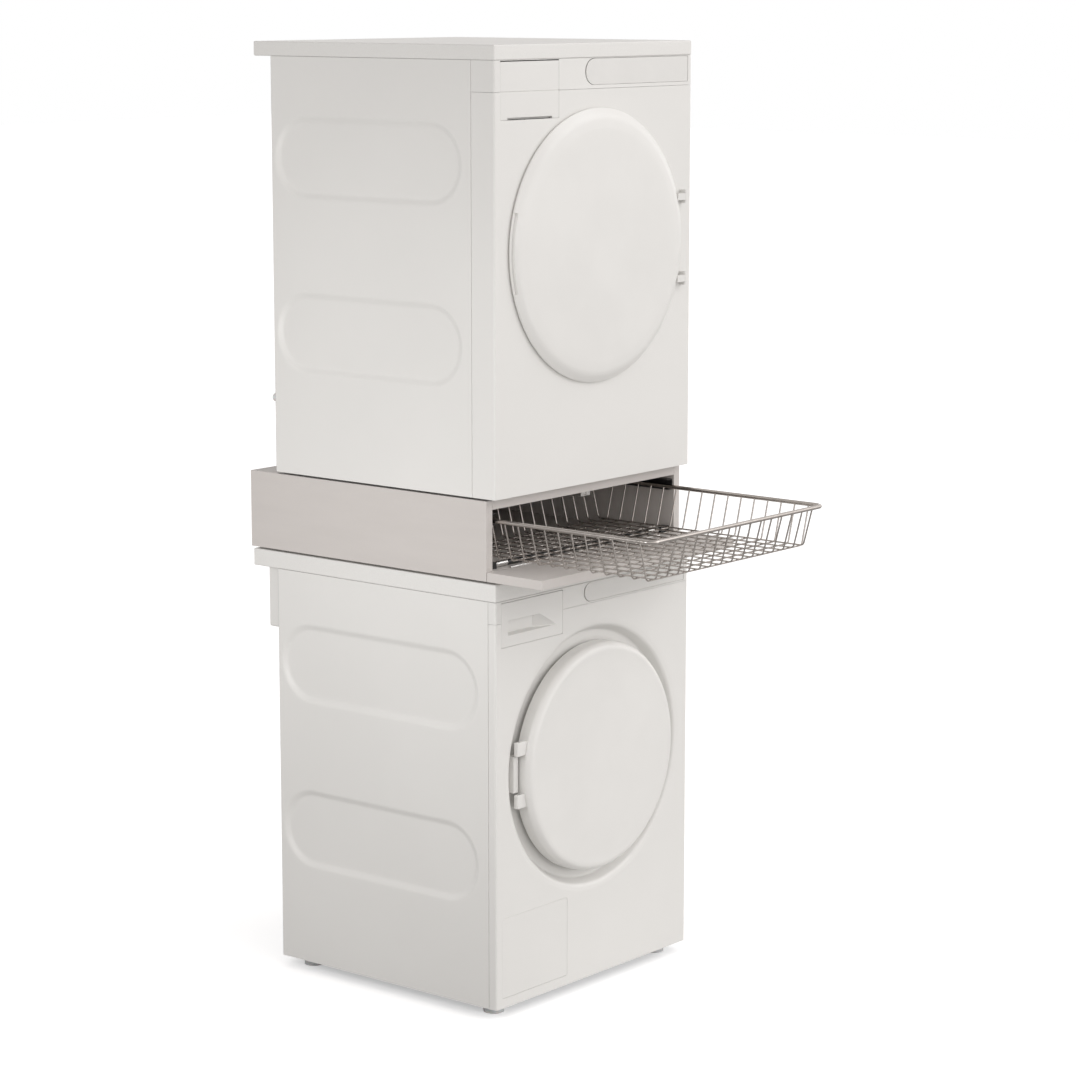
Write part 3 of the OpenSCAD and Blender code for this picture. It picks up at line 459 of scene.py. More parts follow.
def lathe(bm, profile, z):
    """A closed solid turned about a line along y; the profile starts and ends on the line."""
    rows = turned_rows(bm, profile[1:-1], z, 144)
    bridge(bm, *rows)
    for row, (r, y) in ((rows[0], profile[0]), (rows[-1], profile[-1])):
        tip = bm.verts.new(at(0, y, z))
        for a, b in zip(row, row[1:] + row[:1]):
            bm.faces.new((a, b, tip))


R = WASHER_DOOR_R
face = door_low[1]
crown = [(0, face)] + [(r, face + 4 * (r / (R - 8)) ** 3) for r in (10, 40, 80, 120, 150, 175, 195, R - 18)]
edge = soften([(R - 16, face + 2.8), (R - 7, face + 4.6), (R, face + 13),
               (R, 12), (R - 3, 14), (R - 20, 14)], 7)
bm = bmesh.new()
lathe(bm, crown + edge + [(WASHER_MOUTH_R - 22, 14), (WASHER_MOUTH_R - 22, 10), (R - 8, 10), (R - 8, -8),
                          (R - 60, face + 8), (0, face + 6)], WASHER_DOOR_Z)
piece("washer_door_shell", bm, gloss_abs, "washer_door", ["washer_door_cover"])

PIVOT_X = -238
ARM_HALF = 13.5
middle = WASHER_DOOR_Z + 5
bm = bmesh.new()
for side in (-1, 1):
    z = middle + side * 51
    block(bm, (PIVOT_X - 6.5, -9.5, z - ARM_HALF), (PIVOT_X + 6.5, 1, z + ARM_HALF))
    reach = -math.sqrt(R * R - (abs(z - WASHER_DOOR_Z) + 14) ** 2) + 5
    block(bm, (PIVOT_X, -9, z - ARM_HALF), (reach, 1, z + ARM_HALF))
piece("washer_door_arms", bm, white_abs, "washer_door", ["washer_hinge_arms"], round_off=2)

bm = bmesh.new()
block(bm, (-243, 2, middle - 36), (-229, DISH_DEEP, middle + 36))
piece("washer_hinge_block", bm, white_abs, "cabinets", ["washer_hinge_bracket"], round_off=2)


# ---------- dryer door
# A flat white ABS cover almost flush with the front, over a solid moulded inner. A finger grip is
# cut into its left edge, and it hangs at the right on two small hinges.

R = DRYER_DOOR_R
face = cover_low[1]
bm = bmesh.new()
crown = [(0, face)] + [(r, face + 3 * (r / (R - 6)) ** 3) for r in (10, 40, 80, 120, 160, 195, R - 40)]
edge = soften([(R - 36, face + 2.2), (R - 16, face + 4), (R, face + 15),
               (R, -3), (R - 2, -1), (R - 16, -1)], 12)
lathe(bm, crown + edge + [(DRYER_MOUTH_R - 8, -1), (DRYER_MOUTH_R - 8, -4), (R - 9, -4), (R - 9, face + 14),
                          (R - 60, face + 8), (0, face + 6)], DRYER_DOOR_Z)
grip = bmesh.new()          # a slot round the rim, 7 mm deep and 6 mm high
rows = [ring(grip, [at(-r * math.cos(a), y, DRYER_DOOR_Z + r * math.sin(a))
                    for r, y in ((R - 7, -11), (R - 7, -5), (R + 4, -5), (R + 4, -11))])
        for a in (math.radians(-17 + 2 * k) for k in range(18))]
bridge(grip, *rows)
fill(grip, rows[0])
fill(grip, rows[-1])
piece("dryer_door_shell", bm, gloss_abs, "dryer_door", ["dryer_door_cover"], cut=grip)


# ---------- detergent drawer
# A white ABS front with a finger grip scooped into it, deep at the left and running out to the
# right. Behind it a tray with three compartments slides in a moulded case.


def grow(points, by):
    """A closed row of points, counter-clockwise, moved outward."""
    out = []
    for before, here, after in zip(points[-1:] + points[:-1], points, points[1:] + points[:1]):
        u, v = (Vector(here) - Vector(before)).normalized(), (Vector(after) - Vector(here)).normalized()
        share = by / (1 + max(u.dot(v), -0.5))
        out.append((here[0] + (u.y + v.y) * share, here[1] - (u.x + v.x) * share))
    return out


def rounded(points, r):
    """A closed row of points with its corners rounded."""
    return soften(points[-1:] + points + points[:1], r)[1:-1]


def plate(bm, outline, front, back, ease=0.8, hole=None):
    """A plate with an eased front edge; hole is the rows of a recess, from its mouth inward."""
    rows = [ring(bm, [at(x, y, z) for x, z in grow(outline, -inset)])
            for inset, y in ((ease, front), (0.3 * ease, front + 0.3 * ease), (0, front + ease), (0, back))]
    bridge(bm, *rows)
    fill(bm, rows[-1])
    inner = [ring(bm, [at(x, y, z) for x, z in row]) for y, row in hole or ()]
    bridge(bm, *inner)
    if inner:
        fill(bm, inner[-1])
    fill(bm, rows[0], *inner[:1])


CLOSER = 0.7          # the fronts fill most of the millimetre round them
low, high = drawer_low, drawer_high
left, right, low_z, high_z = low[0] + 19, high[0] - 19, low[2] + 21, low[2] + 49
mouth = [(left, low_z), (right, low_z), (right - 50, high_z), (left, high_z)]
bed = [(left + 1, low_z + 1.5), (right - 56, low_z + 1.5), (right - 53, high_z - 1), (left + 1, high_z - 1)]
bm = bmesh.new()
plate(bm, rounded_box(low[0] - CLOSER, low[2] - CLOSER, high[0] + CLOSER, high[2], 3), 0, high[1], hole=[
    (0, rounded(grow(mouth, 0.9), 3)), (0.3, rounded(grow(mouth, 0.3), 3)), (1, rounded(mouth, 3)),
    (13, rounded(bed, 3)), (14, rounded(grow(bed, -1), 3))])
piece("detergent_drawer_front", bm, white_abs, "detergent_drawer", ["washer_drawer_front"])

# Natural polypropylene: milky and slightly soft-looking, with the fine ripple of a moulded wall.
# The ripple is about 3 mm across.
natural_pp, tree, surface, place = new_material("natural_polypropylene")
ripple = add(tree, "ShaderNodeTexNoise", {"Vector": place, "Scale": 330, "Detail": 2})
cloud = add(tree, "ShaderNodeTexNoise", {"Vector": place, "Scale": 6, "Detail": 3})
tint = add(tree, "ShaderNodeValToRGB", {"Fac": cloud}, ((0.3, "#D3D5D4"), (0.7, "#DDDEDC")))
bump = add(tree, "ShaderNodeBump", {"Height": ripple, "Strength": 0.15, "Distance": 0.0003})
add(tree, "ShaderNodeBsdfPrincipled", {
    "Base Color": tint, "Roughness": 0.42, "IOR": 1.49, "Normal": bump,
    "Subsurface Weight": 0.15, "Subsurface Scale": 0.004}, to=surface)


def dress(finish, *names):
    """Gives CAD nodes that stay a finish of their own."""
    for name in names:
        for slot in nodes[name].material_slots:
            slot.material = finish


dress(natural_pp, "washer_drawer_tray", "washer_drawer_case")


# ---------- service flap and pump filter
# A flat white ABS flap on two clips hides the drain pump's screw-in filter.

low, high = flap_low, flap_high
bm = bmesh.new()
plate(bm, rounded_box(low[0] - CLOSER, low[2] - CLOSER, high[0] + CLOSER, high[2] + CLOSER, 3), 0, high[1])
piece("pump_service_flap", bm, white_abs, "service_flap", ["washer_service_flap"])

# Black glass-filled nylon: dark grey, with a dry mottled skin; the glass shows as 1 mm flecks.
black_nylon, tree, surface, place = new_material("black_glass_filled_nylon")
fleck = add(tree, "ShaderNodeTexNoise", {"Vector": place, "Scale": 1000, "Detail": 3})
tint = add(tree, "ShaderNodeValToRGB", {"Fac": fleck}, ((0.35, "#2A2B2C"), (0.7, "#3A3B3C")))
bump = add(tree, "ShaderNodeBump", {"Height": fleck, "Strength": 0.2, "Distance": 0.0002})
add(tree, "ShaderNodeBsdfPrincipled", {
    "Base Color": tint, "Roughness": 0.5, "IOR": 1.53, "Normal": bump}, to=surface)

dress(natural_pp, "washer_pump")
dress(black_nylon, "washer_pump_filter", "washer_dampers")


# ---------- washer drum, tub and motor
# The drum is rolled stainless steel, punched all round, with three moulded lifters. It turns in a
# moulded tub that hangs on springs over dampers, weighted with cast blocks, and the motor is on
# the drum's own shaft.

# Brushed stainless steel with punched holes: bright grey, its grain running round the drum and
# its 4 mm holes 14 mm apart, filled with painted shade: near black for the dark seen through them.
GRAIN_PER_METRE = 900
HOLE_PITCH = 0.014


def drum_steel(name, middle_z, radius, punched):
    made, tree, surface, place = new_material(name)
    part = add(tree, "ShaderNodeSeparateXYZ", {"Vector": place})
    up = add(tree, "ShaderNodeMath", {0: part.outputs["Z"], 1: middle_z}, operation="SUBTRACT")
    turn = add(tree, "ShaderNodeMath", {0: up, 1: part.outputs["X"]}, operation="ARCTAN2")
    round_it = add(tree, "ShaderNodeMath", {0: turn, 1: radius}, operation="MULTIPLY")
    unrolled = add(tree, "ShaderNodeCombineXYZ", {"X": round_it, "Y": part.outputs["Y"]})
    stretched = add(tree, "ShaderNodeMapping", {"Vector": unrolled,
                                                "Scale": (8, GRAIN_PER_METRE, 1)})
    grain = add(tree, "ShaderNodeTexNoise", {"Vector": stretched, "Scale": 1, "Detail": 2})
    steel = add(tree, "ShaderNodeValToRGB", {"Fac": grain}, ((0.3, "#B4B6B8"), (0.7, "#C9CBCC")))
    gloss = add(tree, "ShaderNodeMapRange", {"Value": grain, "To Min": 0.22, "To Max": 0.36})
    skin = {"Base Color": steel, "Roughness": gloss, "Metallic": 1}
    if punched:
        cells = add(tree, "ShaderNodeVectorMath", {0: unrolled, 1: (HOLE_PITCH, HOLE_PITCH, 1)},
                    operation="DIVIDE")
        inside = add(tree, "ShaderNodeVectorMath", {0: cells}, operation="FRACTION")
        away = add(tree, "ShaderNodeVectorMath", {0: inside, 1: (0.5, 0.5, 0)}, operation="DISTANCE")
        hole = add(tree, "ShaderNodeMapRange", {
            "Value": away.outputs["Value"], "From Min": 0.14, "From Max": 0.17})
        # Painted shade: each hole is coloured near black for the dark gap behind it.
        mixed = add(tree, "ShaderNodeMix", {0: hole, 6: colour("#1B1C1D"), 7: steel}, data_type="RGBA")
        bump = add(tree, "ShaderNodeBump", {"Height": hole, "Strength": 0.6, "Distance": 0.001})
        skin.update({"Base Color": mixed.outputs[2], "Metallic": hole,
                     "Normal": bump})
    add(tree, "ShaderNodeBsdfPrincipled", skin, to=surface)
    return made


dress(drum_steel("punched_stainless_steel", WASHER_DOOR_Z / 1000, 0.244, True), "washer_drum")
dress(white_abs, "washer_lifters")
dress(natural_pp, "washer_tub")

# Cast concrete counterweight: mid grey and rough, with sand grains about 2 mm across.
concrete, tree, surface, place = new_material("cast_concrete")
sand = add(tree, "ShaderNodeTexNoise", {"Vector": place, "Scale": 400, "Detail": 6})
tint = add(tree, "ShaderNodeValToRGB", {"Fac": sand}, ((0.3, "#7F7D79"), (0.7, "#9C9A95")))
bump = add(tree, "ShaderNodeBump", {"Height": sand, "Strength": 0.5, "Distance": 0.001})
add(tree, "ShaderNodeBsdfPrincipled", {"Base Color": tint, "Roughness": 0.85, "Normal": bump}, to=surface)
dress(concrete, "washer_counterweight")

# Grey EPDM rubber: matt and slightly streaky, as a door boot comes from its mould.
boot_rubber, tree, surface, place = new_material("grey_epdm_rubber")
streak = add(tree, "ShaderNodeTexNoise", {"Vector": place, "Scale": 25, "Detail": 5})
tint = add(tree, "ShaderNodeValToRGB", {"Fac": streak}, ((0.3, "#85878A"), (0.7, "#919396")))
bump = add(tree, "ShaderNodeBump", {"Height": streak, "Strength": 0.1, "Distance": 0.001})
add(tree, "ShaderNodeBsdfPrincipled", {
    "Base Color": tint, "Roughness": 0.62, "IOR": 1.52, "Normal": bump}, to=surface)
dress(boot_rubber, "washer_gasket")

# Clear pressed glass for the door's bowl: faint grey-green with the slow waves of the press.
bowl_glass, tree, surface, place = new_material("pressed_glass")
wave = add(tree, "ShaderNodeTexNoise", {"Vector": place, "Scale": 30, "Detail": 1})
bump = add(tree, "ShaderNodeBump", {"Height": wave, "Strength": 0.1, "Distance": 0.002})
add(tree, "ShaderNodeBsdfPrincipled", {
    "Base Color": colour("#EDF2F0"), "Roughness": 0.03, "IOR": 1.5, "Transmission Weight": 1.0,
    "Normal": bump}, to=surface)
dress(bowl_glass, "washer_door_glass")

# Varnished copper windings: dark red-brown turns of about 1 mm wire.
windings, tree, surface, place = new_material("varnished_copper_wire")
turns = add(tree, "ShaderNodeTexWave", {"Vector": place, "Scale": 320, "Distortion": 1})
tint = add(tree, "ShaderNodeValToRGB", {"Fac": turns.outputs["Fac"]}, ((0.2, "#5A2E1C"), (0.8, "#8A4A2C")))
bump = add(tree, "ShaderNodeBump", {"Height": turns.outputs["Fac"], "Strength": 0.5, "Distance": 0.0005})
add(tree, "ShaderNodeBsdfPrincipled", {
    "Base Color": tint, "Roughness": 0.35, "Metallic": 0.6, "Normal": bump}, to=surface)
dress(windings, "washer_stator")

# Galvanised steel: grey, with the faint frosty spangle of hot-dip zinc, cells 7 mm across.
galvanised, tree, surface, place = new_material("galvanised_steel")
spangle = add(tree, "ShaderNodeTexVoronoi", {"Vector": place, "Scale": 143})
shade = add(tree, "ShaderNodeSeparateColor", {"Color": spangle.outputs["Color"]})
tint = add(tree, "ShaderNodeValToRGB", {"Fac": shade.outputs["Red"]}, ((0.0, "#B9BCBE"), (1.0, "#C3C6C8")))
gloss = add(tree, "ShaderNodeMapRange", {"Value": shade.outputs["Green"], "To Min": 0.44, "To Max": 0.52})
add(tree, "ShaderNodeBsdfPrincipled", {
    "Base Color": tint, "Roughness": gloss, "Metallic": 0.85}, to=surface)
dress(galvanised, "washer_base", "washer_springs", "washer_rotor", "dryer_base")


# ---------- rear of the washer
# The rear panel is galvanised sheet, stamped with ribs and a ring round the shaft's hole, and held
# by screws. Under the worktop's overhang sits a white service box with the water inlet.


def smooth(t):
    t = min(max(t, 0), 1)
    return t * t * (3 - 2 * t)


def stamped_sheet(bm, low, high, middle_z, rings, ribs):
    """A rear panel with rings and level ribs pressed 4 mm inward."""
    y = high[1]

    def depth(x, z):
        r = math.hypot(x, z - middle_z)
        deep = 0
        for inner, outer in rings:
            deep = max(deep, smooth((r - inner) / 8) * smooth((outer - r) / 8))
        for rib_z, half_long in ribs:
            side = math.hypot(max(abs(x) - half_long, 0), z - rib_z)
            deep = max(deep, smooth((16 - side) / 9))
        return y - 0.01 - 4 * deep

    across, up = 120, 150
    rows = []
    for j in range(up + 1):
        z = low[2] + (high[2] - low[2]) * j / up
        rows.append(ring(bm, [at(x, depth(x, z), z) for x in
                              (low[0] + (high[0] - low[0]) * i / across for i in range(across + 1))]))
    bridge(bm, *rows, closed=False)


def screw_heads(bm, points, y):
    """Dome-headed screws, 8 mm across, standing 1.6 mm out of the sheet."""
    for x, z in points:
        rows = [ring(bm, [at(x + r * math.cos(a), y - down, z + r * math.sin(a))
                          for a in (math.pi / 8 * k for k in range(16))])
                for r, down in ((4, 1.4), (3.8, 0.7), (2.8, 0.15), (1.6, 0.0), (1.2, 0.9))]
        bridge(bm, *rows)
        fill(bm, rows[0])
        fill(bm, rows[-1])


SCREW_X = 272
SCREW_OUT = 1.3
low, high = span("washer_rear_panel")
rear_y = high[1]
bm = bmesh.new()
stamped_sheet(bm, low, high, WASHER_DOOR_Z, [(60, 84), (205, 229)],
              [(150, 200), (70, 200), (640, 200)])
piece("washer_rear_sheet", bm, galvanised, "cabinets", ["washer_rear_panel"], thick=0.8, away=(0, 1, 0))

board("rear_service_box", "washer_rear_box", white_abs, 4)
dress(white_abs, "washer_inlet_valve")

bm = bmesh.new()
screw_heads(bm, [(s * SCREW_X, z) for s in (-1, 1) for z in (40, 230, 420, 610)], rear_y + SCREW_OUT)
piece("washer_rear_screws", bm, galvanised, "cabinets")

# Black rubber: near black and matt, faintly dusty.
black_rubber, tree, surface, place = new_material("black_rubber")
dust = add(tree, "ShaderNodeTexNoise", {"Vector": place, "Scale": 60, "Detail": 6})
tint = add(tree, "ShaderNodeValToRGB", {"Fac": dust}, ((0.35, "#202020"), (0.75, "#303030")))
bump = add(tree, "ShaderNodeBump", {"Height": dust, "Strength": 0.15, "Distance": 0.0005})
add(tree, "ShaderNodeBsdfPrincipled", {
    "Base Color": tint, "Roughness": 0.7, "IOR": 1.52, "Normal": bump}, to=surface)
dress(black_rubber, "stack_pads")
dress(natural_pp, "washer_feet")


# ---------- basket unit
# A case of melamine-faced board between the machines, standing on rubber pads, with a flap hung
# on two barrels in front of its floor.

# Warm grey melamine board: flat and matt, with a printed grain so faint it reads as a soft cloud
# and a fine pebble that is drawn at 2 mm to show.
melamine, tree, surface, place = new_material("warm_grey_melamine")
long_way = add(tree, "ShaderNodeMapping", {"Vector": place, "Scale": (6, 6, 40)})
figure = add(tree, "ShaderNodeTexNoise", {"Vector": long_way, "Scale": 1, "Detail": 4})
pebble = add(tree, "ShaderNodeTexNoise", {"Vector": place, "Scale": 500, "Detail": 2})
tint = add(tree, "ShaderNodeValToRGB", {"Fac": figure}, ((0.3, "#CDC8C4"), (0.7, "#D0CBC7")))
bump = add(tree, "ShaderNodeBump", {"Height": pebble, "Strength": 0.12, "Distance": 0.0003})
add(tree, "ShaderNodeBsdfPrincipled", {
    "Base Color": tint, "Roughness": 0.5, "IOR": 1.5, "Normal": bump}, to=surface)

wall_low, wall_high = span("unit_side_walls")
BOARD = span("unit_floor")[0][0] - wall_low[0]
bm = bmesh.new()
for x in (wall_low[0], wall_high[0] - BOARD):
    block(bm, (x, wall_low[1], wall_low[2]), (x + BOARD, wall_high[1], wall_high[2]))
piece("unit_walls", bm, melamine, "cabinets", ["unit_side_walls"], round_off=0.8)
for part in ("unit_floor", "unit_top", "unit_back"):
    board(part + "_board", part, melamine, 0.8)
board("unit_front_flap", "unit_flap", melamine, 0.8, "basket_flap")


# ---------- flap hinges, stop rod and catch
# The flap turns on two steel barrels let into the boards. A black steel rod with bright end
# sleeves lies across the case's floor in two end blocks, and a spring catch hangs from its top.


def tube(bm, path, r, closed=False, sides=12):
    """A round bar along a row of points in metres, with flat ends unless it is closed."""
    count = len(path)
    ways = []
    for i in range(count):
        a = path[i - 1] if closed or i else path[i]
        b = path[(i + 1) % count] if closed or i + 1 < count else path[i]
        ways.append((b - a).normalized())
    across = ways[0].orthogonal().normalized()
    rows = []
    for here, way in zip(path, ways):
        across = (across - way * across.dot(way)).normalized()
        over = way.cross(across)
        rows.append(ring(bm, [here + (across * math.cos(a) + over * math.sin(a)) * r / 1000
                              for a in (2 * math.pi * k / sides for k in range(sides))]))
    bridge(bm, *rows)
    if closed:
        start = min(range(sides), key=lambda k: (rows[0][k].co - rows[-1][0].co).length)
        bridge(bm, rows[-1], rows[0][start:] + rows[0][:start])
    else:
        fill(bm, rows[0])
        fill(bm, rows[-1])


# Bright zinc-plated steel: cool grey with a soft mirror and faint drawing marks along the bar.
bright_steel, tree, surface, place = new_material("bright_zinc_plated_steel")
marks = add(tree, "ShaderNodeTexNoise", {"Vector": place, "Scale": 90, "Detail": 4})
tint = add(tree, "ShaderNodeValToRGB", {"Fac": marks}, ((0.3, "#C9C8C6"), (0.7, "#DAD9D7")))
gloss = add(tree, "ShaderNodeMapRange", {"Value": marks, "To Min": 0.18, "To Max": 0.3})
add(tree, "ShaderNodeBsdfPrincipled", {
    "Base Color": tint, "Roughness": gloss, "Metallic": 1}, to=surface)

# Black stoved paint on steel: a satin near-black with a slight orange peel, drawn at 4 mm.
black_steel, tree, surface, place = new_material("black_stoved_steel")
peel = add(tree, "ShaderNodeTexNoise", {"Vector": place, "Scale": 250, "Detail": 2})
tint = add(tree, "ShaderNodeValToRGB", {"Fac": peel}, ((0.3, "#1C1C1D"), (0.7, "#262627")))
bump = add(tree, "ShaderNodeBump", {"Height": peel, "Strength": 0.1, "Distance": 0.0004})
add(tree, "ShaderNodeBsdfPrincipled", {
    "Base Color": tint, "Roughness": 0.38, "IOR": 1.5, "Normal": bump}, to=surface)

low, high = span("flap_hinges")
middle_y, middle_z = (low[1] + high[1]) / 2, (low[2] + high[2]) / 2
bm = bmesh.new()
for side in (-1, 1):
    ends = (side * 170, side * 230)
    tube(bm, [at(x, middle_y, middle_z) for x in ends], 3.5, sides=24)
piece("flap_hinge_barrels", bm, bright_steel, "cabinets", ["flap_hinges"])

low, high = span("flap_rod")
floor_top = span("unit_floor")[1][2]
rod_y, rod_z = (low[1] + high[1]) / 2, floor_top + 6
reach = high[0] - 18
bm = bmesh.new()
tube(bm, [at(x, rod_y, rod_z) for x in (-reach, reach)], 5, sides=24)
for side in (-1, 1):
    block(bm, (min(side * high[0], side * (high[0] - 26)), low[1], floor_top),
          (max(side * high[0], side * (high[0] - 26)), high[1], floor_top + 12))
piece("flap_stop_rod", bm, black_steel, "cabinets", ["flap_rod"], round_off=0.6)
bm = bmesh.new()
for side in (-1, 1):
    tube(bm, [at(side * x, rod_y, rod_z) for x in (reach - 9, reach - 44)], 5.9, sides=24)
piece("stop_rod_sleeves", bm, bright_steel, "cabinets")

low, high = span("flap_catch")
bm = bmesh.new()
block(bm, (low[0], low[1] + 5, low[2]), high)
tube(bm, [at(0, y, low[2] + 4) for y in (low[1], low[1] + 8)], 3, sides=16)
piece("spring_catch", bm, bright_steel, "cabinets", ["flap_catch"], round_off=1)

dress(black_steel, "unit_runners")


# ---------- laundry basket
# A rim of 8 mm rod bent into one loop, with two layers of 3 mm wires welded under it: the cross
# wires turn up at the sides, and the long wires lie on them and turn up at front and rear.

# Bright chromed wire: a warm grey mirror, slightly clouded by handling.
chromed_wire, tree, surface, place = new_material("chromed_wire")
haze = add(tree, "ShaderNodeTexNoise", {"Vector": place, "Scale": 40, "Detail": 4})
tint = add(tree, "ShaderNodeValToRGB", {"Fac": haze}, ((0.3, "#B3ADA8"), (0.7, "#C0BAB5")))
gloss = add(tree, "ShaderNodeMapRange", {"Value": haze, "To Min": 0.16, "To Max": 0.28})
add(tree, "ShaderNodeBsdfPrincipled", {
    "Base Color": tint, "Roughness": gloss, "Metallic": 1}, to=surface)

RIM_R = 4
WIRE_R = 1.5
low, high = span("basket_rim")
rim_x, rim_y0, rim_y1, rim_z = high[0] - RIM_R, low[1] + RIM_R, high[1] - RIM_R, low[2] + RIM_R
bm = bmesh.new()
tube(bm, [at(x, y, rim_z) for x, y in rounded_box(-rim_x, rim_y0, rim_x, rim_y1, 16, 10)], RIM_R, True, 20)
piece("basket_rim_rod", bm, chromed_wire, "laundry_basket", ["basket_rim"])

low, high = span("basket_cross_wires")
floor_z = low[2] + WIRE_R
long_z = span("basket_long_wires")[0][2] + WIRE_R
weld_x, weld_z = rim_x - 3, rim_z - RIM_R / 2
bend = 7
taper = 24
half = rim_x - taper
front_y, rear_y = low[1] + WIRE_R - 12, high[1] - WIRE_R + 12
CROSS_WIRES = 16
LONG_WIRES = 15
bm = bmesh.new()
for i in range(CROSS_WIRES):
    y = front_y + 12 + i * (rear_y - front_y - 24) / (CROSS_WIRES - 1)
    line = [(-weld_x, y, weld_z), (-half, y, floor_z), (half, y, floor_z), (weld_x, y, weld_z)]
    tube(bm, [at(*p) for p in soften(line, bend, 6)], WIRE_R, sides=10)
piece("basket_cross_wires_bent", bm, chromed_wire, "laundry_basket", ["basket_cross_wires"])
bm = bmesh.new()
for i in range(LONG_WIRES):
    x = -half + 12 + i * (2 * half - 24) / (LONG_WIRES - 1)
    line = [(x, y, z) for y, z in ((rim_y0 + 1, rim_z - RIM_R + 0.4), (front_y, long_z), (rear_y, long_z),
                                   (rim_y1 - 1, rim_z - RIM_R + 0.4))]
    tube(bm, [at(*p) for p in soften(line, bend, 6)], WIRE_R, sides=10)
piece("basket_long_wires_bent", bm, chromed_wire, "laundry_basket", ["basket_long_wires"])


# ---------- dryer drum, filter and heat pump
# The drum is plain rolled stainless with three lifters. A lint filter lifts out of the moulded
# ring at its mouth, and the heat pump stands under it in a black foam housing.

dress(drum_steel("rolled_stainless_steel", DRYER_DOOR_Z / 1000, 0.268, False), "dryer_drum")
dress(white_abs, "dryer_lifters")
dress(natural_pp, "dryer_front_ring", "dryer_tank", "dryer_drain_spigot")

# Fine steel mesh in a grey frame: the filter's weave, 0.4 mm in life, is drawn at 3 mm.
lint_mesh, tree, surface, place = new_material("lint_filter_mesh")
weft = add(tree, "ShaderNodeTexWave", {"Vector": place, "Scale": 105, "Distortion": 0.2}, bands_direction="X")
warp = add(tree, "ShaderNodeTexWave", {"Vector": place, "Scale": 105, "Distortion": 0.2}, bands_direction="Z")
cross = add(tree, "ShaderNodeMath", {0: weft.outputs["Fac"], 1: warp.outputs["Fac"]}, operation="MAXIMUM")
tint = add(tree, "ShaderNodeValToRGB", {"Fac": cross}, ((0.6, "#5C5F61"), (0.95, "#9EA2A4")))
bump = add(tree, "ShaderNodeBump", {"Height": cross, "Strength": 0.5, "Distance": 0.0008})
add(tree, "ShaderNodeBsdfPrincipled", {
    "Base Color": tint, "Roughness": 0.45, "Metallic": 0.5, "Normal": bump}, to=surface)
dress(lint_mesh, "dryer_lint_filter")

# Expanded polypropylene foam: black beads about 4 mm across pressed into one soft block.
bead_foam, tree, surface, place = new_material("black_bead_foam")
bead = add(tree, "ShaderNodeTexVoronoi", {"Vector": place, "Scale": 250})
tint = add(tree, "ShaderNodeValToRGB", {"Fac": bead}, ((0.1, "#2E2F30"), (0.7, "#1D1E1F")))
bump = add(tree, "ShaderNodeBump", {"Height": bead, "Strength": 0.4, "Distance": 0.001})
add(tree, "ShaderNodeBsdfPrincipled", {
    "Base Color": tint, "Roughness": 0.75, "Normal": bump}, to=surface)
dress(bead_foam, "dryer_heat_pump")
dress(gloss_abs, "dryer_door_inner")


# ---------- dryer door's hinges
# Two small white mouldings on the front sheet, each holding a pin, with the door's own knuckle
# and leaf between them.

R = DRYER_DOOR_R
PIN_R = 3.6
HINGES_Z = (DRYER_DOOR_Z - 80, DRYER_DOOR_Z + 80)
hinge_x, hinge_y = R + 6, -10
bm = bmesh.new()
for z in (middle + end for middle in HINGES_Z for end in (-10, 10)):
    tube(bm, [at(hinge_x, hinge_y, z + up) for up in (-3, 3)], PIN_R, sides=24)
    block(bm, (hinge_x - PIN_R, hinge_y, z - 3), (hinge_x + PIN_R, 0, z + 3))
piece("dryer_hinge_blocks", bm, white_abs, "cabinets", ["dryer_hinge_post"], round_off=0.5)
bm = bmesh.new()
leaf_x = math.sqrt(R * R - 90 * 90) - 3
for z in HINGES_Z:
    tube(bm, [at(hinge_x, hinge_y, z + up) for up in (-6.6, 6.6)], PIN_R, sides=24)
    block(bm, (leaf_x, hinge_y - 3, z - 6.6), (hinge_x, hinge_y + 3, z + 6.6))
piece("dryer_door_knuckles", bm, white_abs, "dryer_door", round_off=0.5)


# ---------- water container
# A white ABS front over the whole height of the dryer's left drawer opening, cut by a fine line
# that carries the fascia's seam across, with a slot to pull it by under its bottom edge. The
# container behind it is blow-moulded.

low = (tank_low[0] - CLOSER, 0, tank_low[2] - CLOSER)
high = (tank_high[0] + CLOSER, tank_high[1], tank_high[2] - 1)
seam_z = span("dryer_fascia")[0][2]
slot_x, slot_high = 20, 4
bm = bmesh.new()
plate(bm, [(low[0], low[2]), (low[0] + slot_x, low[2]), (low[0] + slot_x, low[2] + slot_high),
           (high[0] - slot_x, low[2] + slot_high), (high[0] - slot_x, low[2]), (high[0], low[2]),
           (high[0], seam_z - 0.5), (low[0], seam_z - 0.5)], 0, high[1], ease=0.5)
plate(bm, [(low[0], seam_z + 0.5), (high[0], seam_z + 0.5), (high[0], high[2]), (low[0], high[2])],
      0, high[1], ease=0.5)
block(bm, (low[0] + 0.2, 1.2, seam_z - 1), (high[0] - 0.2, high[1] - 1, seam_z + 1))
block(bm, (low[0] + slot_x - 1, 7, low[2] + 0.5), (high[0] - slot_x + 1, high[1] - 1, low[2] + slot_high + 1))
piece("water_container_front", bm, white_abs, "water_container", ["dryer_tank_front"])


# ---------- rear of the dryer
# Galvanised sheet, stamped round the drum's rear bearing and across, and held by screws. A short
# grey spout near its lower edge takes the drain hose.

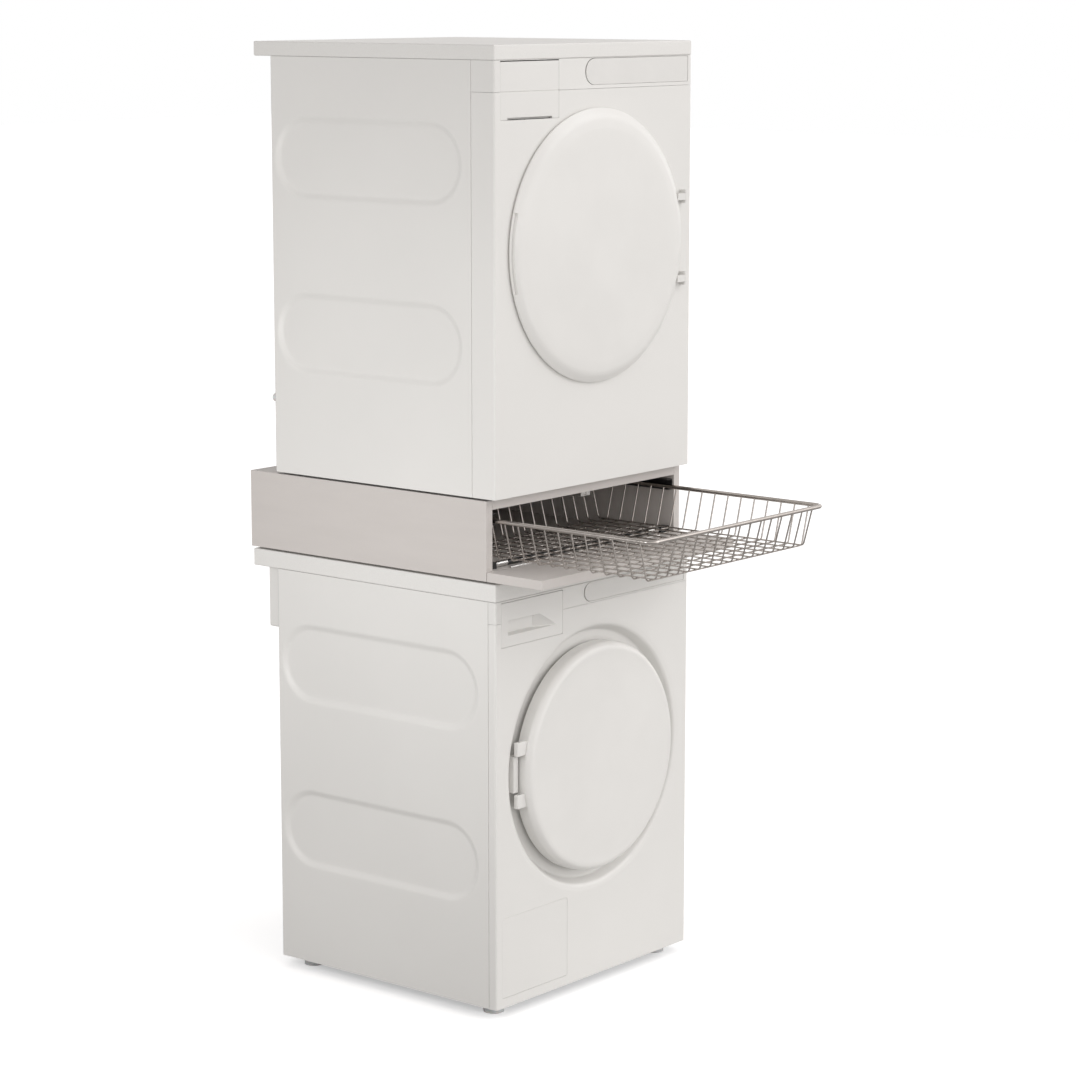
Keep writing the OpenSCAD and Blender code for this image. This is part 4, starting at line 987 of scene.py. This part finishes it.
low, high = span("dryer_rear_panel")
bm = bmesh.new()
stamped_sheet(bm, low, high, DRYER_DOOR_Z, [(60, 84), (225, 249)], [(1100, 170), (1770, 200)])
piece("dryer_rear_sheet", bm, galvanised, "cabinets", ["dryer_rear_panel"], thick=0.8, away=(0, 1, 0))
bm = bmesh.new()
screw_heads(bm, [(s * SCREW_X, z) for s in (-1, 1) for z in (1030, 1235, 1440, 1645, 1790)],
            high[1] + SCREW_OUT)
piece("dryer_rear_screws", bm, galvanised, "cabinets")


# ---------- floor, light and camera
# White paper runs under and behind the object. The light is a soft studio's: pale walls, a broad
# key from the right, a softbox at the left and a low one in front.


def ground(name, z, light, dark, glow):
    """A wide sheet of paper under the object."""
    made, tree, surface, place = new_material(name + "_paper")
    mottle = add(tree, "ShaderNodeTexNoise", {"Vector": place, "Scale": 3, "Detail": 3})
    tint = add(tree, "ShaderNodeValToRGB", {"Fac": mottle}, ((0.3, dark), (0.7, light)))
    add(tree, "ShaderNodeBsdfPrincipled", {
        "Base Color": tint, "Roughness": 0.9, "Emission Color": colour("#FFFFFF"),
        "Emission Strength": glow}, to=surface)
    bm = bmesh.new()
    bmesh.ops.create_grid(bm, x_segments=1, y_segments=1, size=30)
    mesh = bpy.data.meshes.new(name)
    bm.to_mesh(mesh)
    bm.free()
    mesh.materials.append(made)
    sheet = bpy.data.objects.new(name, mesh)
    sheet.location.z = z
    bpy.context.scene.collection.objects.link(sheet)
    return sheet


# The seen floor is white, and the one under it, unseen, sets how much light comes back up.
floor = ground("floor", 0, "#FBFBFB", "#F8F8F8", 0.4)
floor.visible_diffuse = floor.visible_glossy = False
bounce = ground("bounce_floor", -0.002, "#D2D2D1", "#CFCFCE", 0)
bounce.visible_camera = False

world = bpy.data.worlds.new("studio")
bpy.context.scene.world = world
world.use_nodes = True
tree = world.node_tree
way = add(tree, "ShaderNodeTexCoord").outputs["Generated"]
along = add(tree, "ShaderNodeVectorMath", {0: way, 1: (0.2, -0.35, -0.7)}, operation="DOT_PRODUCT")
strength = add(tree, "ShaderNodeMath", {0: along.outputs["Value"], 1: 1.2}, operation="ADD")
walls = add(tree, "ShaderNodeBackground", {"Color": (1, 0.975, 0.965, 1), "Strength": strength})
paper_roll = add(tree, "ShaderNodeBackground", {"Color": (1, 1, 1, 1), "Strength": 1})
camera_ray = add(tree, "ShaderNodeLightPath").outputs["Is Camera Ray"]
add(tree, "ShaderNodeMixShader", {0: camera_ray, 1: walls, 2: paper_roll},
    to=tree.nodes["World Output"].inputs["Surface"])


def lamp(name, kind, place, look_at, power, size):
    """A soft light that stays out of the picture; size is metres, or a sun's spread in degrees."""
    light = bpy.data.lights.new(name, kind)
    light.energy = power
    if kind == "SUN":
        light.angle = math.radians(size)
    else:
        light.shape, light.size = "SQUARE", size
    made = bpy.data.objects.new(name, light)
    made.location = place
    made.rotation_mode = "QUATERNION"
    made.rotation_quaternion = (Vector(look_at) - Vector(place)).to_track_quat("-Z", "Y")
    made.visible_camera = False
    bpy.context.scene.collection.objects.link(made)


lamp("key", "SUN", (2.6, -3, 2.8), (0, 0, 0), 0.5, 40)
lamp("left_softbox", "AREA", (-1.5, 0.05, 1.0), (-0.3, 0.05, 0.98), 5.5, 0.6)
lamp("low_front", "AREA", (0.6, -2.6, 0.45), (0, -0.3, 0.45), 5, 1.0)

lens = bpy.data.cameras.new("camera")
camera = bpy.data.objects.new("camera", lens)
bpy.context.scene.collection.objects.link(camera)
lens.sensor_width = 36
lens.lens = 3178.6 / 1079 * 36
camera.location = (-4.7276, -3.9087, 1.9520)
yaw, pitch = math.radians(50.44), math.radians(9.94)
gaze = Vector((math.sin(yaw) * math.cos(pitch), math.cos(yaw) * math.cos(pitch), -math.sin(pitch)))
camera.rotation_mode = "QUATERNION"
camera.rotation_quaternion = gaze.to_track_quat("-Z", "Y")
bpy.context.scene.camera = camera
bpy.context.scene.view_settings.view_transform = "Standard"
